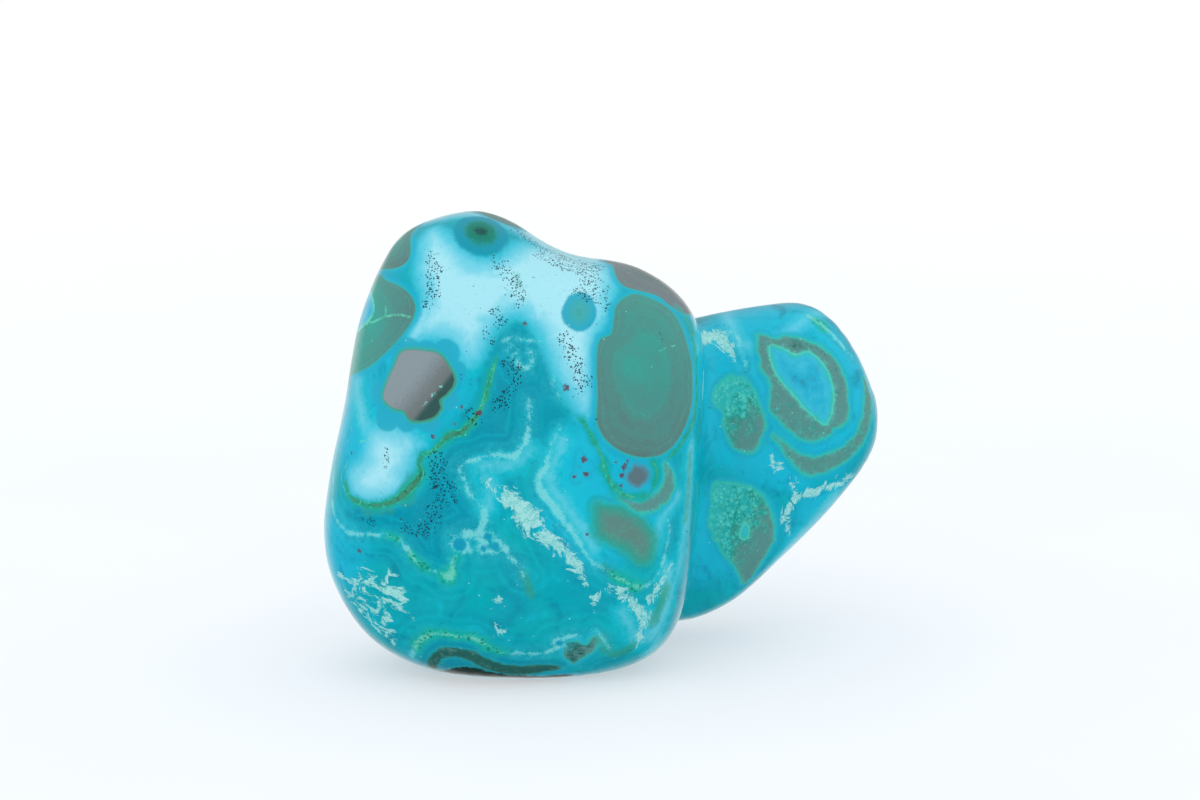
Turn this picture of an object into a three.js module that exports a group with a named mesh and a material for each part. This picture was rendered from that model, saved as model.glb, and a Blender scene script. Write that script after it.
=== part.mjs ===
// A tumbled and polished nugget of chrysocolla and malachite, grown as one piece.
//
// The nugget is a broad upright lobe with a smaller lobe grown onto its right flank, further back.
// Both are worn smooth, meet in a soft valley, and stand on a small flat worn under the broad lobe.
// Millimetres, +Z up. The origin is on the resting plane under the middle of the bounding box;
// +X runs to the right and +Y to the back, seen from the side that shows the broad lobe's face.

import * as THREE from "three";

// ---- driving dimensions ----

// Each lobe is a pillow: an outline in its own upright plane, filled out to a depth at the front
// and another at the back. Outline points are [right, up] from the lobe's centre.
const BROAD_LOBE = {
  centre: [-9.5, 0, 26],
  turn: 0, // degrees about +Z, positive takes the right end back
  lean: 4, // degrees, positive takes the top back
  frontDepth: 13,
  backDepth: 13,
  squareness: 2.6, // 2 is an ellipse in section, more is boxier
  outline: [
    [-4.4, 25.1],
    [-9, 24.2],
    [-12.5, 22.3],
    [-14.7, 19],
    [-17.1, 12.8],
    [-18.6, 4],
    [-20.5, -5.5],
    [-21, -10],
    [-20.3, -14.5],
    [-18.4, -18.6],
    [-15.8, -21.8],
    [-11.7, -24.4],
    [-6, -26],
    [3, -26.5],
    [10, -25.5],
    [14.8, -23.6],
    [17.3, -20.8],
    [19, -15],
    [20.1, -2],
    [20.3, 7],
    [20, 12],
    [17.5, 16],
    [12.8, 19],
    [6.2, 20.4],
    [3.2, 21.8],
    [-1, 24.3],
  ],
};
const SIDE_LOBE = {
  centre: [18, 13.5, 24.5],
  turn: 15,
  lean: 2,
  frontDepth: 8.5,
  backDepth: 9,
  squareness: 2.5,
  outline: [
    [-19, 9.5],
    [-7.2, 12.3],
    [1.5, 13.7],
    [5.3, 13.7],
    [8.3, 11.6],
    [11.8, 6],
    [13.3, 1],
    [12.5, -3.2],
    [8.2, -8.8],
    [1.5, -15],
    [-5.6, -20.4],
    [-12, -21.4],
    [-18, -16],
    [-22, -4],
  ],
};
const VALLEY_BLEND = 4; // how softly the two lobes run into each other

// Swellings (height above 0) and hollows (height below 0) worn into the surface.
const SWELLINGS = [
  { at: [-15, -13, 22], width: 12, height: 1.2 }, // belly of the broad face
  { at: [-7, -6, 47], width: 8, height: -1.2 }, // saddle between the crown and the right shoulder
  { at: [-16, 12, 37], width: 10, height: -1 }, // shallow hollow high on the back
  { at: [-7, 14, 13], width: 11, height: 1 }, // fullness low on the back
  { at: [-5, 9, 2], width: 9, height: 1.6 }, // heel that the nugget stands on
  { at: [8, 18, 26], width: 9, height: 1.8 }, // fills the valley between the lobes at the back
  { at: [22, 23, 22], width: 8, height: -1 }, // thumb-wide dip in the back of the side lobe
];

const FOOT_CUT = 1.9; // how much is worn off the lowest point to make the resting flat
const FOOT_EDGE = 0.5; // how softly the flat's edge is worn round
const FLAT_TOLERANCE = 0.02; // points this close to the resting plane lie in it

// ---- meshing ----

const MESH_CELL = 1.65; // the size of the surface's facets
const MESH_LOW = [-34, -18, -4]; // a box that holds the whole nugget
const MESH_HIGH = [36, 30, 56];
const RELAX_ROUNDS = 6; // evens the facets out
const PROBE = 0.05; // step of the numeric gradient
const SNAP_STEPS = 4;
const OUTLINE_STEPS = 720; // angles at which an outline's radius is kept
const INNERMOST_LEVEL = 1e-3; // keeps a lobe's very centre finite

// ---- the shape as a field: negative inside, about a distance in mm near the surface ----

// The outline's radius at any angle round the lobe's centre, from a smooth closed curve.
function polarOutline(points) {
  const curve = new THREE.CatmullRomCurve3(
    points.map(([x, z]) => new THREE.Vector3(x, z, 0)),
    true,
    "centripetal",
  );
  const polar = curve
    .getPoints(OUTLINE_STEPS * 2)
    .map((p) => [Math.atan2(p.y, p.x), Math.hypot(p.x, p.y)])
    .sort((a, b) => a[0] - b[0]);
  const radii = [];
  let next = 0;
  for (let i = 0; i < OUTLINE_STEPS; i++) {
    const angle = -Math.PI + (2 * Math.PI * i) / OUTLINE_STEPS;
    while (next < polar.length - 1 && polar[next][0] < angle) next++;
    radii.push(polar[next][1]);
  }
  return (angle) => {
    const at = ((angle + Math.PI) / (2 * Math.PI)) * OUTLINE_STEPS;
    const low = Math.floor(at);
    const share = at - low;
    return radii[low % OUTLINE_STEPS] * (1 - share) + radii[(low + 1) % OUTLINE_STEPS] * share;
  };
}

function lobeField(lobe) {
  const radius = polarOutline(lobe.outline);
  const lean = -THREE.MathUtils.degToRad(lobe.lean);
  const turn = THREE.MathUtils.degToRad(lobe.turn);
  const toLobe = new THREE.Matrix4()
    .makeRotationFromEuler(new THREE.Euler(lean, 0, turn, "ZYX"))
    .setPosition(...lobe.centre)
    .invert();
  const q = new THREE.Vector3();
  return (p) => {
    q.copy(p).applyMatrix4(toLobe);
    const across = Math.hypot(q.x, q.z) / radius(Math.atan2(q.z, q.x));
    const deep = Math.abs(q.y) / (q.y < 0 ? lobe.frontDepth : lobe.backDepth);
    const n = lobe.squareness;
    const level = Math.max((across ** n + deep ** n) ** (1 / n), INNERMOST_LEVEL);
    return q.length() * (1 - 1 / level);
  };
}

function smoothUnion(a, b, blend) {
  const overlap = Math.max(blend - Math.abs(a - b), 0) / blend;
  return Math.min(a, b) - (overlap ** 2 * blend) / 4;
}

const broad = lobeField(BROAD_LOBE);
const side = lobeField(SIDE_LOBE);

function stoneField(p) {
  let value = smoothUnion(broad(p), side(p), VALLEY_BLEND);
  for (const { at, width, height } of SWELLINGS) {
    const squared = (p.x - at[0]) ** 2 + (p.y - at[1]) ** 2 + (p.z - at[2]) ** 2;
    value -= height * Math.exp(-squared / width ** 2);
  }
  return value;
}

// ---- the field's surface as triangles ----

const probe = new THREE.Vector3();
const gradient = new THREE.Vector3();

function snapToSurface(p, field) {
  for (let i = 0; i < SNAP_STEPS; i++) {
    const value = field(p);
    for (const axis of ["x", "y", "z"]) {
      probe.copy(p)[axis] += PROBE;
      gradient[axis] = (field(probe) - value) / PROBE;
    }
    p.addScaledVector(gradient, -value / gradient.lengthSq());
  }
  return p;
}

// Moves each point to the middle of its neighbours and back onto the surface, a few times over.
function relax(points, triangles, field) {
  const neighbours = points.map(() => new Set());
  for (let i = 0; i < triangles.length; i += 3) {
    const [a, b, c] = triangles.slice(i, i + 3);
    neighbours[a].add(b).add(c);
    neighbours[b].add(c).add(a);
    neighbours[c].add(a).add(b);
  }
  for (let round = 0; round < RELAX_ROUNDS; round++) {
    const middles = neighbours.map((set) => {
      const sum = new THREE.Vector3();
      set.forEach((n) => sum.add(points[n]));
      return sum.divideScalar(set.size);
    });
    points.forEach((p, i) => snapToSurface(p.copy(middles[i]), field));
  }
}

// A surface net: one point in each grid cell that the surface runs through.
function surfaceNet(field) {
  const low = new THREE.Vector3(...MESH_LOW);
  const high = new THREE.Vector3(...MESH_HIGH);
  const count = high.sub(low).divideScalar(MESH_CELL).ceil().addScalar(1);
  const stride = [1, count.x, count.x * count.y];
  const total = count.x * count.y * count.z;
  const cornerAt = (i) => {
    const across = i % count.x;
    const back = Math.floor(i / stride[1]) % count.y;
    const up = Math.floor(i / stride[2]);
    return new THREE.Vector3(across, back, up).multiplyScalar(MESH_CELL).add(low);
  };
  const inside = Array.from({ length: total }, (_, i) => field(cornerAt(i)) < 0);

  const points = [];
  const pointOfCell = new Map();
  const cellPoint = (i) => {
    if (!pointOfCell.has(i)) {
      pointOfCell.set(i, points.length);
      points.push(snapToSurface(cornerAt(i).addScalar(MESH_CELL / 2), field));
    }
    return pointOfCell.get(i);
  };

  // Each grid edge that crosses the surface joins the four cells round it with two triangles.
  const triangles = [];
  for (let i = 0; i < total; i++) {
    for (let axis = 0; axis < 3; axis++) {
      const far = i + stride[axis];
      if (far >= total || inside[i] === inside[far]) continue;
      const u = stride[(axis + 1) % 3];
      const v = stride[(axis + 2) % 3];
      const ring = [i - u - v, i - v, i, i - u].map(cellPoint);
      if (!inside[i]) ring.reverse();
      const [a, b, c, d] = ring;
      const acShorter = points[a].distanceTo(points[c]) < points[b].distanceTo(points[d]);
      triangles.push(...(acShorter ? [a, b, c, a, c, d] : [a, b, d, b, c, d]));
    }
  }
  relax(points, triangles, field);
  return { points, triangles };
}

function stoneGeometry() {
  const whole = surfaceNet(stoneField);
  const floor = Math.min(...whole.points.map((p) => p.z)) + FOOT_CUT;
  const worn = surfaceNet((p) => -smoothUnion(-stoneField(p), p.z - floor, FOOT_EDGE));
  const places = worn.points.flatMap((p) => {
    const height = p.z - floor;
    return [p.x, p.y, height < FLAT_TOLERANCE ? 0 : height];
  });

  const geometry = new THREE.BufferGeometry();
  geometry.setAttribute("position", new THREE.Float32BufferAttribute(places, 3));
  geometry.setIndex(worn.triangles);
  geometry.computeBoundingBox();
  const middle = geometry.boundingBox.getCenter(new THREE.Vector3());
  geometry.translate(-middle.x, -middle.y, 0);
  geometry.computeVertexNormals();
  return geometry;
}

const stone = new THREE.Mesh(
  stoneGeometry(),
  new THREE.MeshStandardMaterial({ color: 0x1f9fb0, roughness: 0.18, metalness: 0 }),
);
stone.name = "chrysocolla_nugget";

const part = new THREE.Group();
part.add(stone);

export default part;
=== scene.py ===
"""A polished nugget of chrysocolla with malachite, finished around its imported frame.

The stone is one fine mesh that replaces the CAD node. Its markings are outlines and lines laid on
the surface in millimetres. Each kind of marking becomes a distance kept on the mesh's points, and
the material turns those distances into stone with procedural noise, bands and specks.
"""

import math

import bmesh
import bpy
import numpy as np
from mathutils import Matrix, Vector
from mathutils.bvhtree import BVHTree


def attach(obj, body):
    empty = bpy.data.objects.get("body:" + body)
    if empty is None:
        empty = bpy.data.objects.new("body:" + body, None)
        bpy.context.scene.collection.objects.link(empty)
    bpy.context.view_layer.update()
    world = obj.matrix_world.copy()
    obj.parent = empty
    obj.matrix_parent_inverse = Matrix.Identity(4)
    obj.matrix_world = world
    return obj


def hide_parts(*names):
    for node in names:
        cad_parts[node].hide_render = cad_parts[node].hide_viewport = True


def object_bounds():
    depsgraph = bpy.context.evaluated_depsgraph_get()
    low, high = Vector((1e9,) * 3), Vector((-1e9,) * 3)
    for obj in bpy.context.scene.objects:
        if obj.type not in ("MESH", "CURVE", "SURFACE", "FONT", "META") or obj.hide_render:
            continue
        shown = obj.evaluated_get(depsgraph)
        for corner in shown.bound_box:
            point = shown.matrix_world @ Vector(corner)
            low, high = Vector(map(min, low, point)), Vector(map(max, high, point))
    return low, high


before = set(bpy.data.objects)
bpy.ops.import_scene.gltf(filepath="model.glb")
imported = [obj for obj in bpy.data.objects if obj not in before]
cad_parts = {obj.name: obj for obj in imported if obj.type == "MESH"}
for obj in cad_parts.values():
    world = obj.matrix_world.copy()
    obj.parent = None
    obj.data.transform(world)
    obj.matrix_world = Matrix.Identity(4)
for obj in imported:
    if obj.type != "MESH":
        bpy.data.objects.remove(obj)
cad_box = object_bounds()

MM = 0.001
NODE = "chrysocolla_nugget"

# ---- sides that markings are placed from: (azimuth, elevation) of the viewer, in degrees ----
# A place is [across, up] in mm as that viewer sees it, measured from the stone's origin.

FRONT = (0, 0)
FRONT_LEFT = (-45, 0)
FRONT_BELOW = (0, -40)
CROWN_LEFT = (-40, 30)
CROWN = (0, 60)
SHOULDER = (20, 50)
LEFT_LOW = (-25, 0)
RIGHT_STRIP = (30, 0)
BACK = (180, 0)
BACK_LEFT = (225, 0)
LEFT = (270, 0)
RIGHT = (90, 0)
TOP = (0, 90)
BELOW = (0, -90)

# ---- the markings ----

# Pale sky-blue areas with soft edges, as closed outlines.
PALE_AREAS = [
    # from the crown down between the eyes, with a bay for the deep tongue
    (FRONT, [(-18.6, 48.9), (-15.7, 47.2), (-12.3, 46), (-9.3, 47), (-5, 46.6), (0, 44.6), (0.2, 41.5),
        (-1.3, 38.2), (-1.5, 34.2), (-2, 30.8), (-3.7, 32.6), (-5.1, 35.1), (-6.3, 38), (-7.8, 40.2),
        (-9.8, 41.1), (-12.1, 39.6), (-14.1, 36.8), (-16.5, 38.6), (-19.6, 38.7), (-21.3, 37.6),
        (-19.3, 42), (-19.9, 45.6)]),
    # the tongue under the dark patch
    (FRONT, [(-24.8, 28.6), (-21.6, 28.9), (-20, 27.6), (-20.4, 26), (-21.2, 24.2), (-22, 22.5),
        (-23.7, 21.5), (-25.8, 21.4), (-27.1, 22.3), (-27.1, 23.7), (-25.8, 25.3), (-25.4, 27)]),
    # over the crown and down the back
    (TOP, [(-20, -4), (-12, -5), (-6, -5), (0, -5), (1.4, 0), (-5, 4), (-9, 8), (-16, 8), (-21, 3)]),
    (BACK, [(2, 47), (8, 49), (14, 48), (20, 44.6), (23, 42), (17, 42.5), (12.5, 39), (12, 33), (9.5, 30),
        (8.4, 36), (3, 38.5), (-1, 37), (0, 42)]),
    (BACK, [(-15, 38), (-20, 38.5), (-25, 35), (-21, 35.6), (-14, 35)]),
    (LEFT, [(-11, 37), (-7, 41), (-2, 42.5), (2, 39), (0, 36.4), (-5, 34.6), (-10, 34)]),
]

# Deeper teal areas, as closed outlines.
DEEP_AREAS = [
    (FRONT, [(-9.8, 40), (-7.2, 38.4), (-5.6, 34.6), (-4.4, 30.5), (-5.4, 27.6), (-7.6, 27), (-9.2, 25.4),
        (-15.8, 24.8), (-14.2, 21), (-13.4, 18.8), (-16.4, 17), (-17, 14.6), (-20.2, 15.6), (-22, 18),
        (-27.4, 18.4), (-27.6, 20), (-20.4, 21.6), (-17, 27.4), (-13.8, 31.4), (-12.4, 36.8)]),
    # between the rim line and the band at the foot
    (FRONT, [(-20.4, 2.6), (-18.4, 5.6), (-15.8, 5.6), (-13.6, 4.9), (-11.2, 3.6), (-7, 3.5), (-4.4, 2.6),
        (-7, 1.2), (-12, 0.8), (-18, 1)]),
    (BACK, [(26, 30), (28, 22), (25, 14), (18, 9), (12, 13), (9, 20), (12, 27), (19, 28)]),
    (BACK, [(-6, 34), (-4, 26), (-8, 16), (-13, 18), (-11, 26), (-10, 34)]),
]

# Bluer areas of the ground: middle and radius.
BLUE_AREAS = [
    (FRONT, (0, 21), 6.5),
    (FRONT, (-2.6, 26), 4),
    (FRONT, (-27, 28), 4),
    (FRONT, (-29, 15), 4),
    (FRONT, (-21, 33), 6),
    (FRONT, (9, 33), 4),
    (FRONT, (20, 30), 12),
    (FRONT, (13, 14), 6),
    (BACK, (16, 36), 9),
    (BACK, (-20, 28), 9),
    (RIGHT, (6, 14), 5),
]

# Polished malachite with sharp rims and faint rings, as closed outlines round a middle.
# brown is how grey-brown it is, and it grows by lean[2] towards lean[:2].
EYES = [
    dict(side=FRONT, middle=(2.7, 35.3), brown=0.75, lean=(-0.5, -0.85, 0.25),
        outline=[(1, 41.5), (2.7, 42.4), (4.8, 41.8), (7.2, 40.1), (8.6, 37), (9.2, 33.2), (9, 30),
            (7.6, 27), (5.6, 25.7), (3, 25.9), (0.6, 27.2), (-1, 29.5), (-1, 32.5), (-1.1, 35.9),
            (-0.8, 38.2), (0.4, 38.8), (0.7, 40.2)]),
    dict(side=SHOULDER, middle=(3, 24), brown=2.4, lean=(0, 0, 0),
        outline=[(-0.9, 27.6), (-1, 25.3), (-1.8, 22.2), (-1.4, 20.4), (0.3, 19.7), (2.3, 19.2),
            (3.5, 18.2), (5.4, 18), (7.6, 20.2), (8, 24), (6, 28), (2.4, 29.8)]),
    dict(side=FRONT_LEFT, middle=(-13, 38.6), brown=0.2, lean=(0.9, 0.4, 0.5),
        outline=[(-12.5, 43.9), (-10, 43.7), (-7.3, 43.4), (-5.4, 42.3), (-4.8, 40.7), (-5.6, 38.7),
            (-7.3, 36.6), (-9.4, 34.9), (-12.4, 33.6), (-15.5, 32.6), (-18.2, 33.2), (-19.2, 36),
            (-18.5, 39.5), (-16, 42.5)],
        hole=[(-13.4, 42), (-11.4, 41.2), (-10.8, 40.1), (-12.2, 38.8), (-14.6, 37.4), (-16.6, 37.6),
            (-17, 39.6), (-15.5, 41.4)]),
    dict(side=CROWN_LEFT, middle=(-14, 31.5), brown=0.75, lean=(0.7, -0.7, 0.4),
        outline=[(-13.5, 34.8), (-12, 32.6), (-10, 30.3), (-10, 28.8), (-11.8, 28.1), (-15.2, 28.4),
            (-18, 29.8), (-18.8, 32.5), (-17, 35), (-15, 35.8)]),
    dict(side=TOP, middle=(-12, 2), brown=1, lean=(0, 0, 0),
        outline=[(-13, -3.8), (-11.6, -4.4), (-10, -3.6), (-8.6, 0), (-9, 3.4), (-11.4, 5.6), (-14.6, 5.4),
            (-16.2, 2.6), (-15, -1)]),
    dict(side=BACK, middle=(19, 36.2), brown=0.7, lean=(0.3, -0.9, 0.3),
        outline=[(14, 36), (15.2, 39.4), (18.5, 41), (22, 39.6), (23.8, 36.4), (23, 32.5), (20.4, 31),
            (17.8, 31.8), (15.4, 31.6), (14.2, 33.4)]),
    dict(side=BACK, middle=(3.6, 31), brown=0.4, lean=(-0.6, 0.6, 0.5),
        outline=[(0.5, 33), (2, 36), (5, 36.8), (7.4, 34.5), (7.6, 30.5), (6.4, 27), (3.4, 25.4), (0.8, 27),
            (-0.4, 30)],
        hole=[(2.2, 31.4), (3.6, 32.6), (5, 31.4), (4.6, 29.4), (3, 28.8)]),
    dict(side=BACK_LEFT, middle=(14.6, 27.4), brown=0.9, lean=(-0.6, 0.6, 0.5),
        outline=[(12.6, 28.6), (14.4, 30), (16.4, 29.4), (17, 27), (15.6, 25), (13.4, 25.4)]),
    dict(side=RIGHT, middle=(13, 28), brown=0.8, lean=(0.6, -0.6, 0.4),
        outline=[(11.4, 30.4), (12.6, 32), (14.4, 31), (15, 28.4), (14.4, 25.6), (12.4, 24.8),
            (11.2, 27.2)]),
]

# The worn dark patch with its ridge, where two faces meet; the face in front of the ridge carries a painted
# sheen.
DARK_PATCH = (FRONT, [(-21.6, 37), (-19.4, 37.3), (-17.6, 37), (-16.4, 35.7), (-15.8, 34.2), (-16.6, 32.9),
    (-17.4, 32.2), (-17.3, 31.3), (-18.4, 30.2), (-20.3, 29.9), (-21.3, 30.8), (-22.6, 31), (-23.7, 31.9),
    (-23.3, 33.6), (-22.5, 35.3)])
RIDGE = (FRONT, [(-16.2, 35.2), (-18.1, 32.6), (-20, 30.2)])
RIDGE_SCRATCH = (FRONT, [(-17, 33.9), (-18.4, 32.5), (-19.3, 31.2)])
# The face on this side of the ridge is painted light grey as a painted sheen; the face across it keeps the
# patch's own dark colour.
BEHIND_RIDGE = ((-18.1, 32.8), (0.78, -0.62))  # a place on the ridge, and across it to the darker face

# Bubbly malachite with ragged edges, as closed outlines. brown grows by lean[2] towards lean[:2].
# A hole is left in it as a blue pool with a bubbly bright rim.
MOSS = [
    # the ringed eye of the side lobe round its blue teardrop
    dict(side=FRONT, middle=(22, 29), brown=0.75, lean=(0.5, 0.8, 0.3),
        outline=[(16.8, 35.3), (18.6, 34.9), (20.2, 35.1), (21.9, 34.7), (24, 33.7), (25.6, 32.1),
            (26.7, 29.8), (27, 27.5), (26.9, 25.5), (25.6, 24.9), (24.5, 24), (22.7, 23.6), (20.9, 24.4),
            (19.1, 26.2), (18, 27.8), (18.1, 30), (17, 32.4)],
        hole=[(18.1, 34.1), (19.6, 33.8), (20.9, 33.1), (22.2, 33.4), (23.5, 32.6), (24.6, 31), (25.2, 29),
            (25, 26.7), (24.3, 25.4), (23.2, 26.3), (21.9, 27.5), (20.8, 28.9), (19.6, 30.2),
            (18.5, 31.9)]),
    dict(side=FRONT, middle=(14.8, 27.4), brown=0.15, lean=(0.6, -0.8, 0.9),
        outline=[(13, 31), (14.4, 31.2), (15.8, 30.4), (16.8, 28.2), (17.6, 26), (16.8, 23.5), (15.5, 22.8),
            (14, 23.6), (13, 25.8), (12.8, 27.6), (11.6, 29.2)]),
    dict(side=FRONT, middle=(15.4, 14), brown=0.25, lean=(0.85, -0.5, 0.85),
        outline=[(11.8, 19.3), (13.3, 19.6), (14.8, 19.3), (16.5, 18.6), (18, 16.7), (18.7, 14.6),
            (18.6, 12.2), (17.5, 10), (16.1, 7.6), (15.2, 7.3), (14.7, 8.9), (13.2, 11.2), (12, 13.3),
            (11.4, 15.2), (11.6, 17.4)],
        hole=[(15.3, 14.8), (15.8, 14.2), (15.6, 13), (14.9, 13.2)]),
    # right of the brown band at the foot
    dict(side=FRONT, middle=(-2.8, 4.6), brown=1.2, lean=(-1, 0, 0.3),
        outline=[(-4.4, 5.4), (-3.3, 5.8), (-2.2, 5.2), (-1.4, 6.4), (-0.8, 5.4), (-1.7, 4.1), (-2.7, 3.2),
            (-3.6, 2.6), (-4.5, 3.7)]),
    dict(side=BACK, middle=(17.4, 16.4), brown=0.2, lean=(0.6, -0.8, 0.8),
        outline=[(14, 20), (17, 21.5), (20, 20.5), (21.8, 17), (20.6, 13.5), (17.5, 11.6), (14.6, 12.6),
            (13, 16)],
        hole=[(17, 17.4), (18.2, 16.8), (17.6, 15.2), (16.4, 15.8)]),
    dict(side=BACK, middle=(-20.4, 27.4), brown=0.8, lean=(-0.5, -0.8, 0.3),
        outline=[(-24.5, 31.6), (-20, 33.4), (-16, 31.5), (-14.6, 27.5), (-16, 23.6), (-20, 21.8),
            (-24.4, 23), (-26.2, 27.5)],
        hole=[(-22, 29.8), (-19.4, 30.4), (-17.8, 28), (-18.8, 25.2), (-21.6, 24.8), (-23.2, 27)]),
    dict(side=LEFT, middle=(-3, 18), brown=0.3, lean=(-0.7, -0.7, 0.8),
        outline=[(-6, 22), (-2.5, 23.5), (1, 22), (2, 18), (0, 14.4), (-4, 14), (-7, 17)],
        hole=[(-3.6, 19.6), (-2, 19.2), (-2.2, 17.4), (-3.8, 17.6)]),
    dict(side=BELOW, middle=(-8.4, 0), brown=0.9, lean=(-1, 0, 0.2),
        outline=[(-14, 2.4), (-9, 4.6), (-4.4, 2.4), (-3.6, -2), (-8, -4.4), (-13, -3)],
        hole=[(-10.4, 0.8), (-8.4, 1.4), (-7.4, -0.6), (-9.4, -1.4)]),
    dict(side=BELOW, middle=(12, -12), brown=0.4, lean=(1, 0, 0.5),
        outline=[(9.6, -11.6), (12, -10.2), (14.6, -11.8), (14.2, -14), (10.8, -14.2)]),
]

# Malachite bands: how brown each is, its line, and the line's half-width at each point.
BANDS = [
    # round the outside of the side lobe's eye
    dict(side=FRONT, brown=0.6,
        line=[(29, 29.4), (29.4, 27.6), (29.1, 25), (28.2, 23.1), (26.3, 21.6), (23.8, 20.8), (22.2, 21),
            (20.4, 22.4), (18.4, 24.6)],
        half=[0.4, 0.8, 0.9, 0.9, 0.95, 1.1, 0.95, 0.5, 0.15]),
    # the brown crescent right of the red blotch
    dict(side=FRONT, brown=0.7,
        line=[(0.6, 22.9), (2.8, 20.8), (4.6, 20.6), (6.1, 21.4), (6.7, 22.8), (6.3, 24.6)],
        half=[0.1, 0.5, 0.85, 0.95, 0.75, 0.25]),
    # along the foot of the broad face
    dict(side=FRONT_BELOW, brown=1.4,
        line=[(-18.9, 8.6), (-18.3, 11.3), (-16.8, 12.4), (-14.8, 12.2), (-13.4, 11.3), (-11.5, 10.2),
            (-9.3, 9.8), (-7.2, 10.1), (-5.4, 10.2)],
        half=[0.7, 0.8, 0.85, 0.9, 1, 1.1, 1, 0.9, 0.5]),
    # the near-black band low on the foot: partly the stone's own dark band, partly painted shade where the
    # stone nears the floor
    dict(side=FRONT_BELOW, brown=3,
        line=[(-18, 7.2), (-15, 8.8), (-12, 8.2), (-8, 7.8), (-4, 8)],
        half=[0.5, 1.4, 1, 0.9, 0.5]),
    dict(side=BACK, brown=0.8,
        line=[(-27.8, 22.4), (-24, 19.8), (-19.8, 19.2), (-15, 20.8), (-12.4, 25), (-12.8, 30),
            (-15.6, 34.2)],
        half=[0.2, 0.7, 0.9, 0.6, 0.5, 0.4, 0.1]),
    dict(side=BACK, brown=1.2, line=[(19, 4), (15.4, 5.4), (11, 4.8), (7, 6)], half=[0.1, 0.6, 0.7, 0.2]),
    dict(side=BELOW, brown=1.2,
        line=[(-24, 4), (-20, 9.4), (-12, 11.4), (-4, 11)],
        half=[0.3, 0.8, 0.7, 0.3]),
]

# Milky strips with very soft edges, one of them partly a painted highlight: a line and its half-width.
MILKY_AND_SHEEN = [
    # along the right edge of the broad face: partly the stone's milky colour, partly a painted highlight on
    # that rounded edge
    (RIGHT_STRIP, [(2.6, 26), (2.2, 22), (1.6, 17), (0.6, 12.6), (-1.2, 8), (-3, 5)], 0.4),
    (FRONT, [(-26.4, 35), (-26.6, 32), (-25.6, 28.8)], 0.8),
    (FRONT, [(-15.4, 38), (-14.4, 36)], 0.5),
    (FRONT, [(-22, 28.2), (-19.6, 28)], 0.3),
    (LEFT_LOW, [(-22.4, 30), (-24, 22), (-24.2, 15), (-22.6, 9.6)], 0.8),
    (FRONT, [(1.6, 9), (2.6, 7), (3, 5)], 0.3),
    (FRONT, [(4.6, 8), (5.6, 5.6), (5, 3.6)], 0.5),
    (FRONT, [(8.4, 41), (9.8, 36)], 0.4),
    (FRONT, [(6.6, 13), (6.4, 9), (5, 5.4)], 0.8),
    (FRONT, [(18.6, 8.5), (21.5, 12), (25.5, 16.4)], 0.8),
    (FRONT, [(-4.6, 28), (-5.4, 26), (-6, 24), (-5, 22), (-3.6, 20), (-2.2, 18), (-1.2, 16.2)], 0.5),
    (FRONT, [(-12.6, 21), (-12.2, 23.4), (-13, 25.4), (-10, 25.8), (-8, 27)], 0.3),
    (FRONT, [(5, 16), (6, 19), (7.6, 21)], 0.5),
    (FRONT, [(26, 36), (28.6, 32.4)], 0.4),
    (BACK, [(29, 20), (27, 14)], 1.2),
    (BACK, [(-28, 30), (-24, 34)], 1),
]

# Green-brown patches with blurred edges, as closed outlines.
SMUDGES = [
    (FRONT, [(-1.3, 21.3), (0.3, 21.2), (2.2, 20.6), (3.8, 19.4), (5, 17.5), (5.2, 15.6), (4.6, 14.2),
        (3.4, 14.2), (2.2, 15.4), (0.6, 16.4), (-1.1, 17.6), (-1.5, 19.2)]),
    (BACK, [(4, 12), (8, 13.4), (10, 11), (8, 8), (4.6, 8.4)]),
    (BACK, [(-8, 24), (-5.6, 25), (-4.4, 22), (-6, 18.6), (-8.4, 20)]),
]

# Oval blue-green spots: middle, half-sizes across and up, and how strong the dark core is.
SPOTS = [
    (CROWN, (-13.4, 17.4), (3, 3.6), 1),
    (FRONT, (-2.9, 40.9), (1.9, 1.9), 0.15),
    (BACK, (11, 43.6), (2.4, 1.9), 0.8),
    (BACK, (12.2, 24.6), (1.5, 1.6), 0.2),
    (LEFT, (3, 32.5), (1.6, 2), 0.6),
]

# Teal lobes round the dark patch: middle and radius.
HALOS = [
    (FRONT, (-21.2, 36.8), 1.7),
    (FRONT, (-19, 37), 1.3),
    (FRONT, (-16.9, 37), 1.5),
    (FRONT, (-15.9, 35.2), 1.2),
    (FRONT, (-16.6, 32.4), 1.1),
    (FRONT, (-23.9, 32.4), 1.3),
    (FRONT, (-23.2, 30), 1.5),
    (FRONT, (-21, 30), 1.3),
    (FRONT, (-18.6, 30), 1.2),
]

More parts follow.
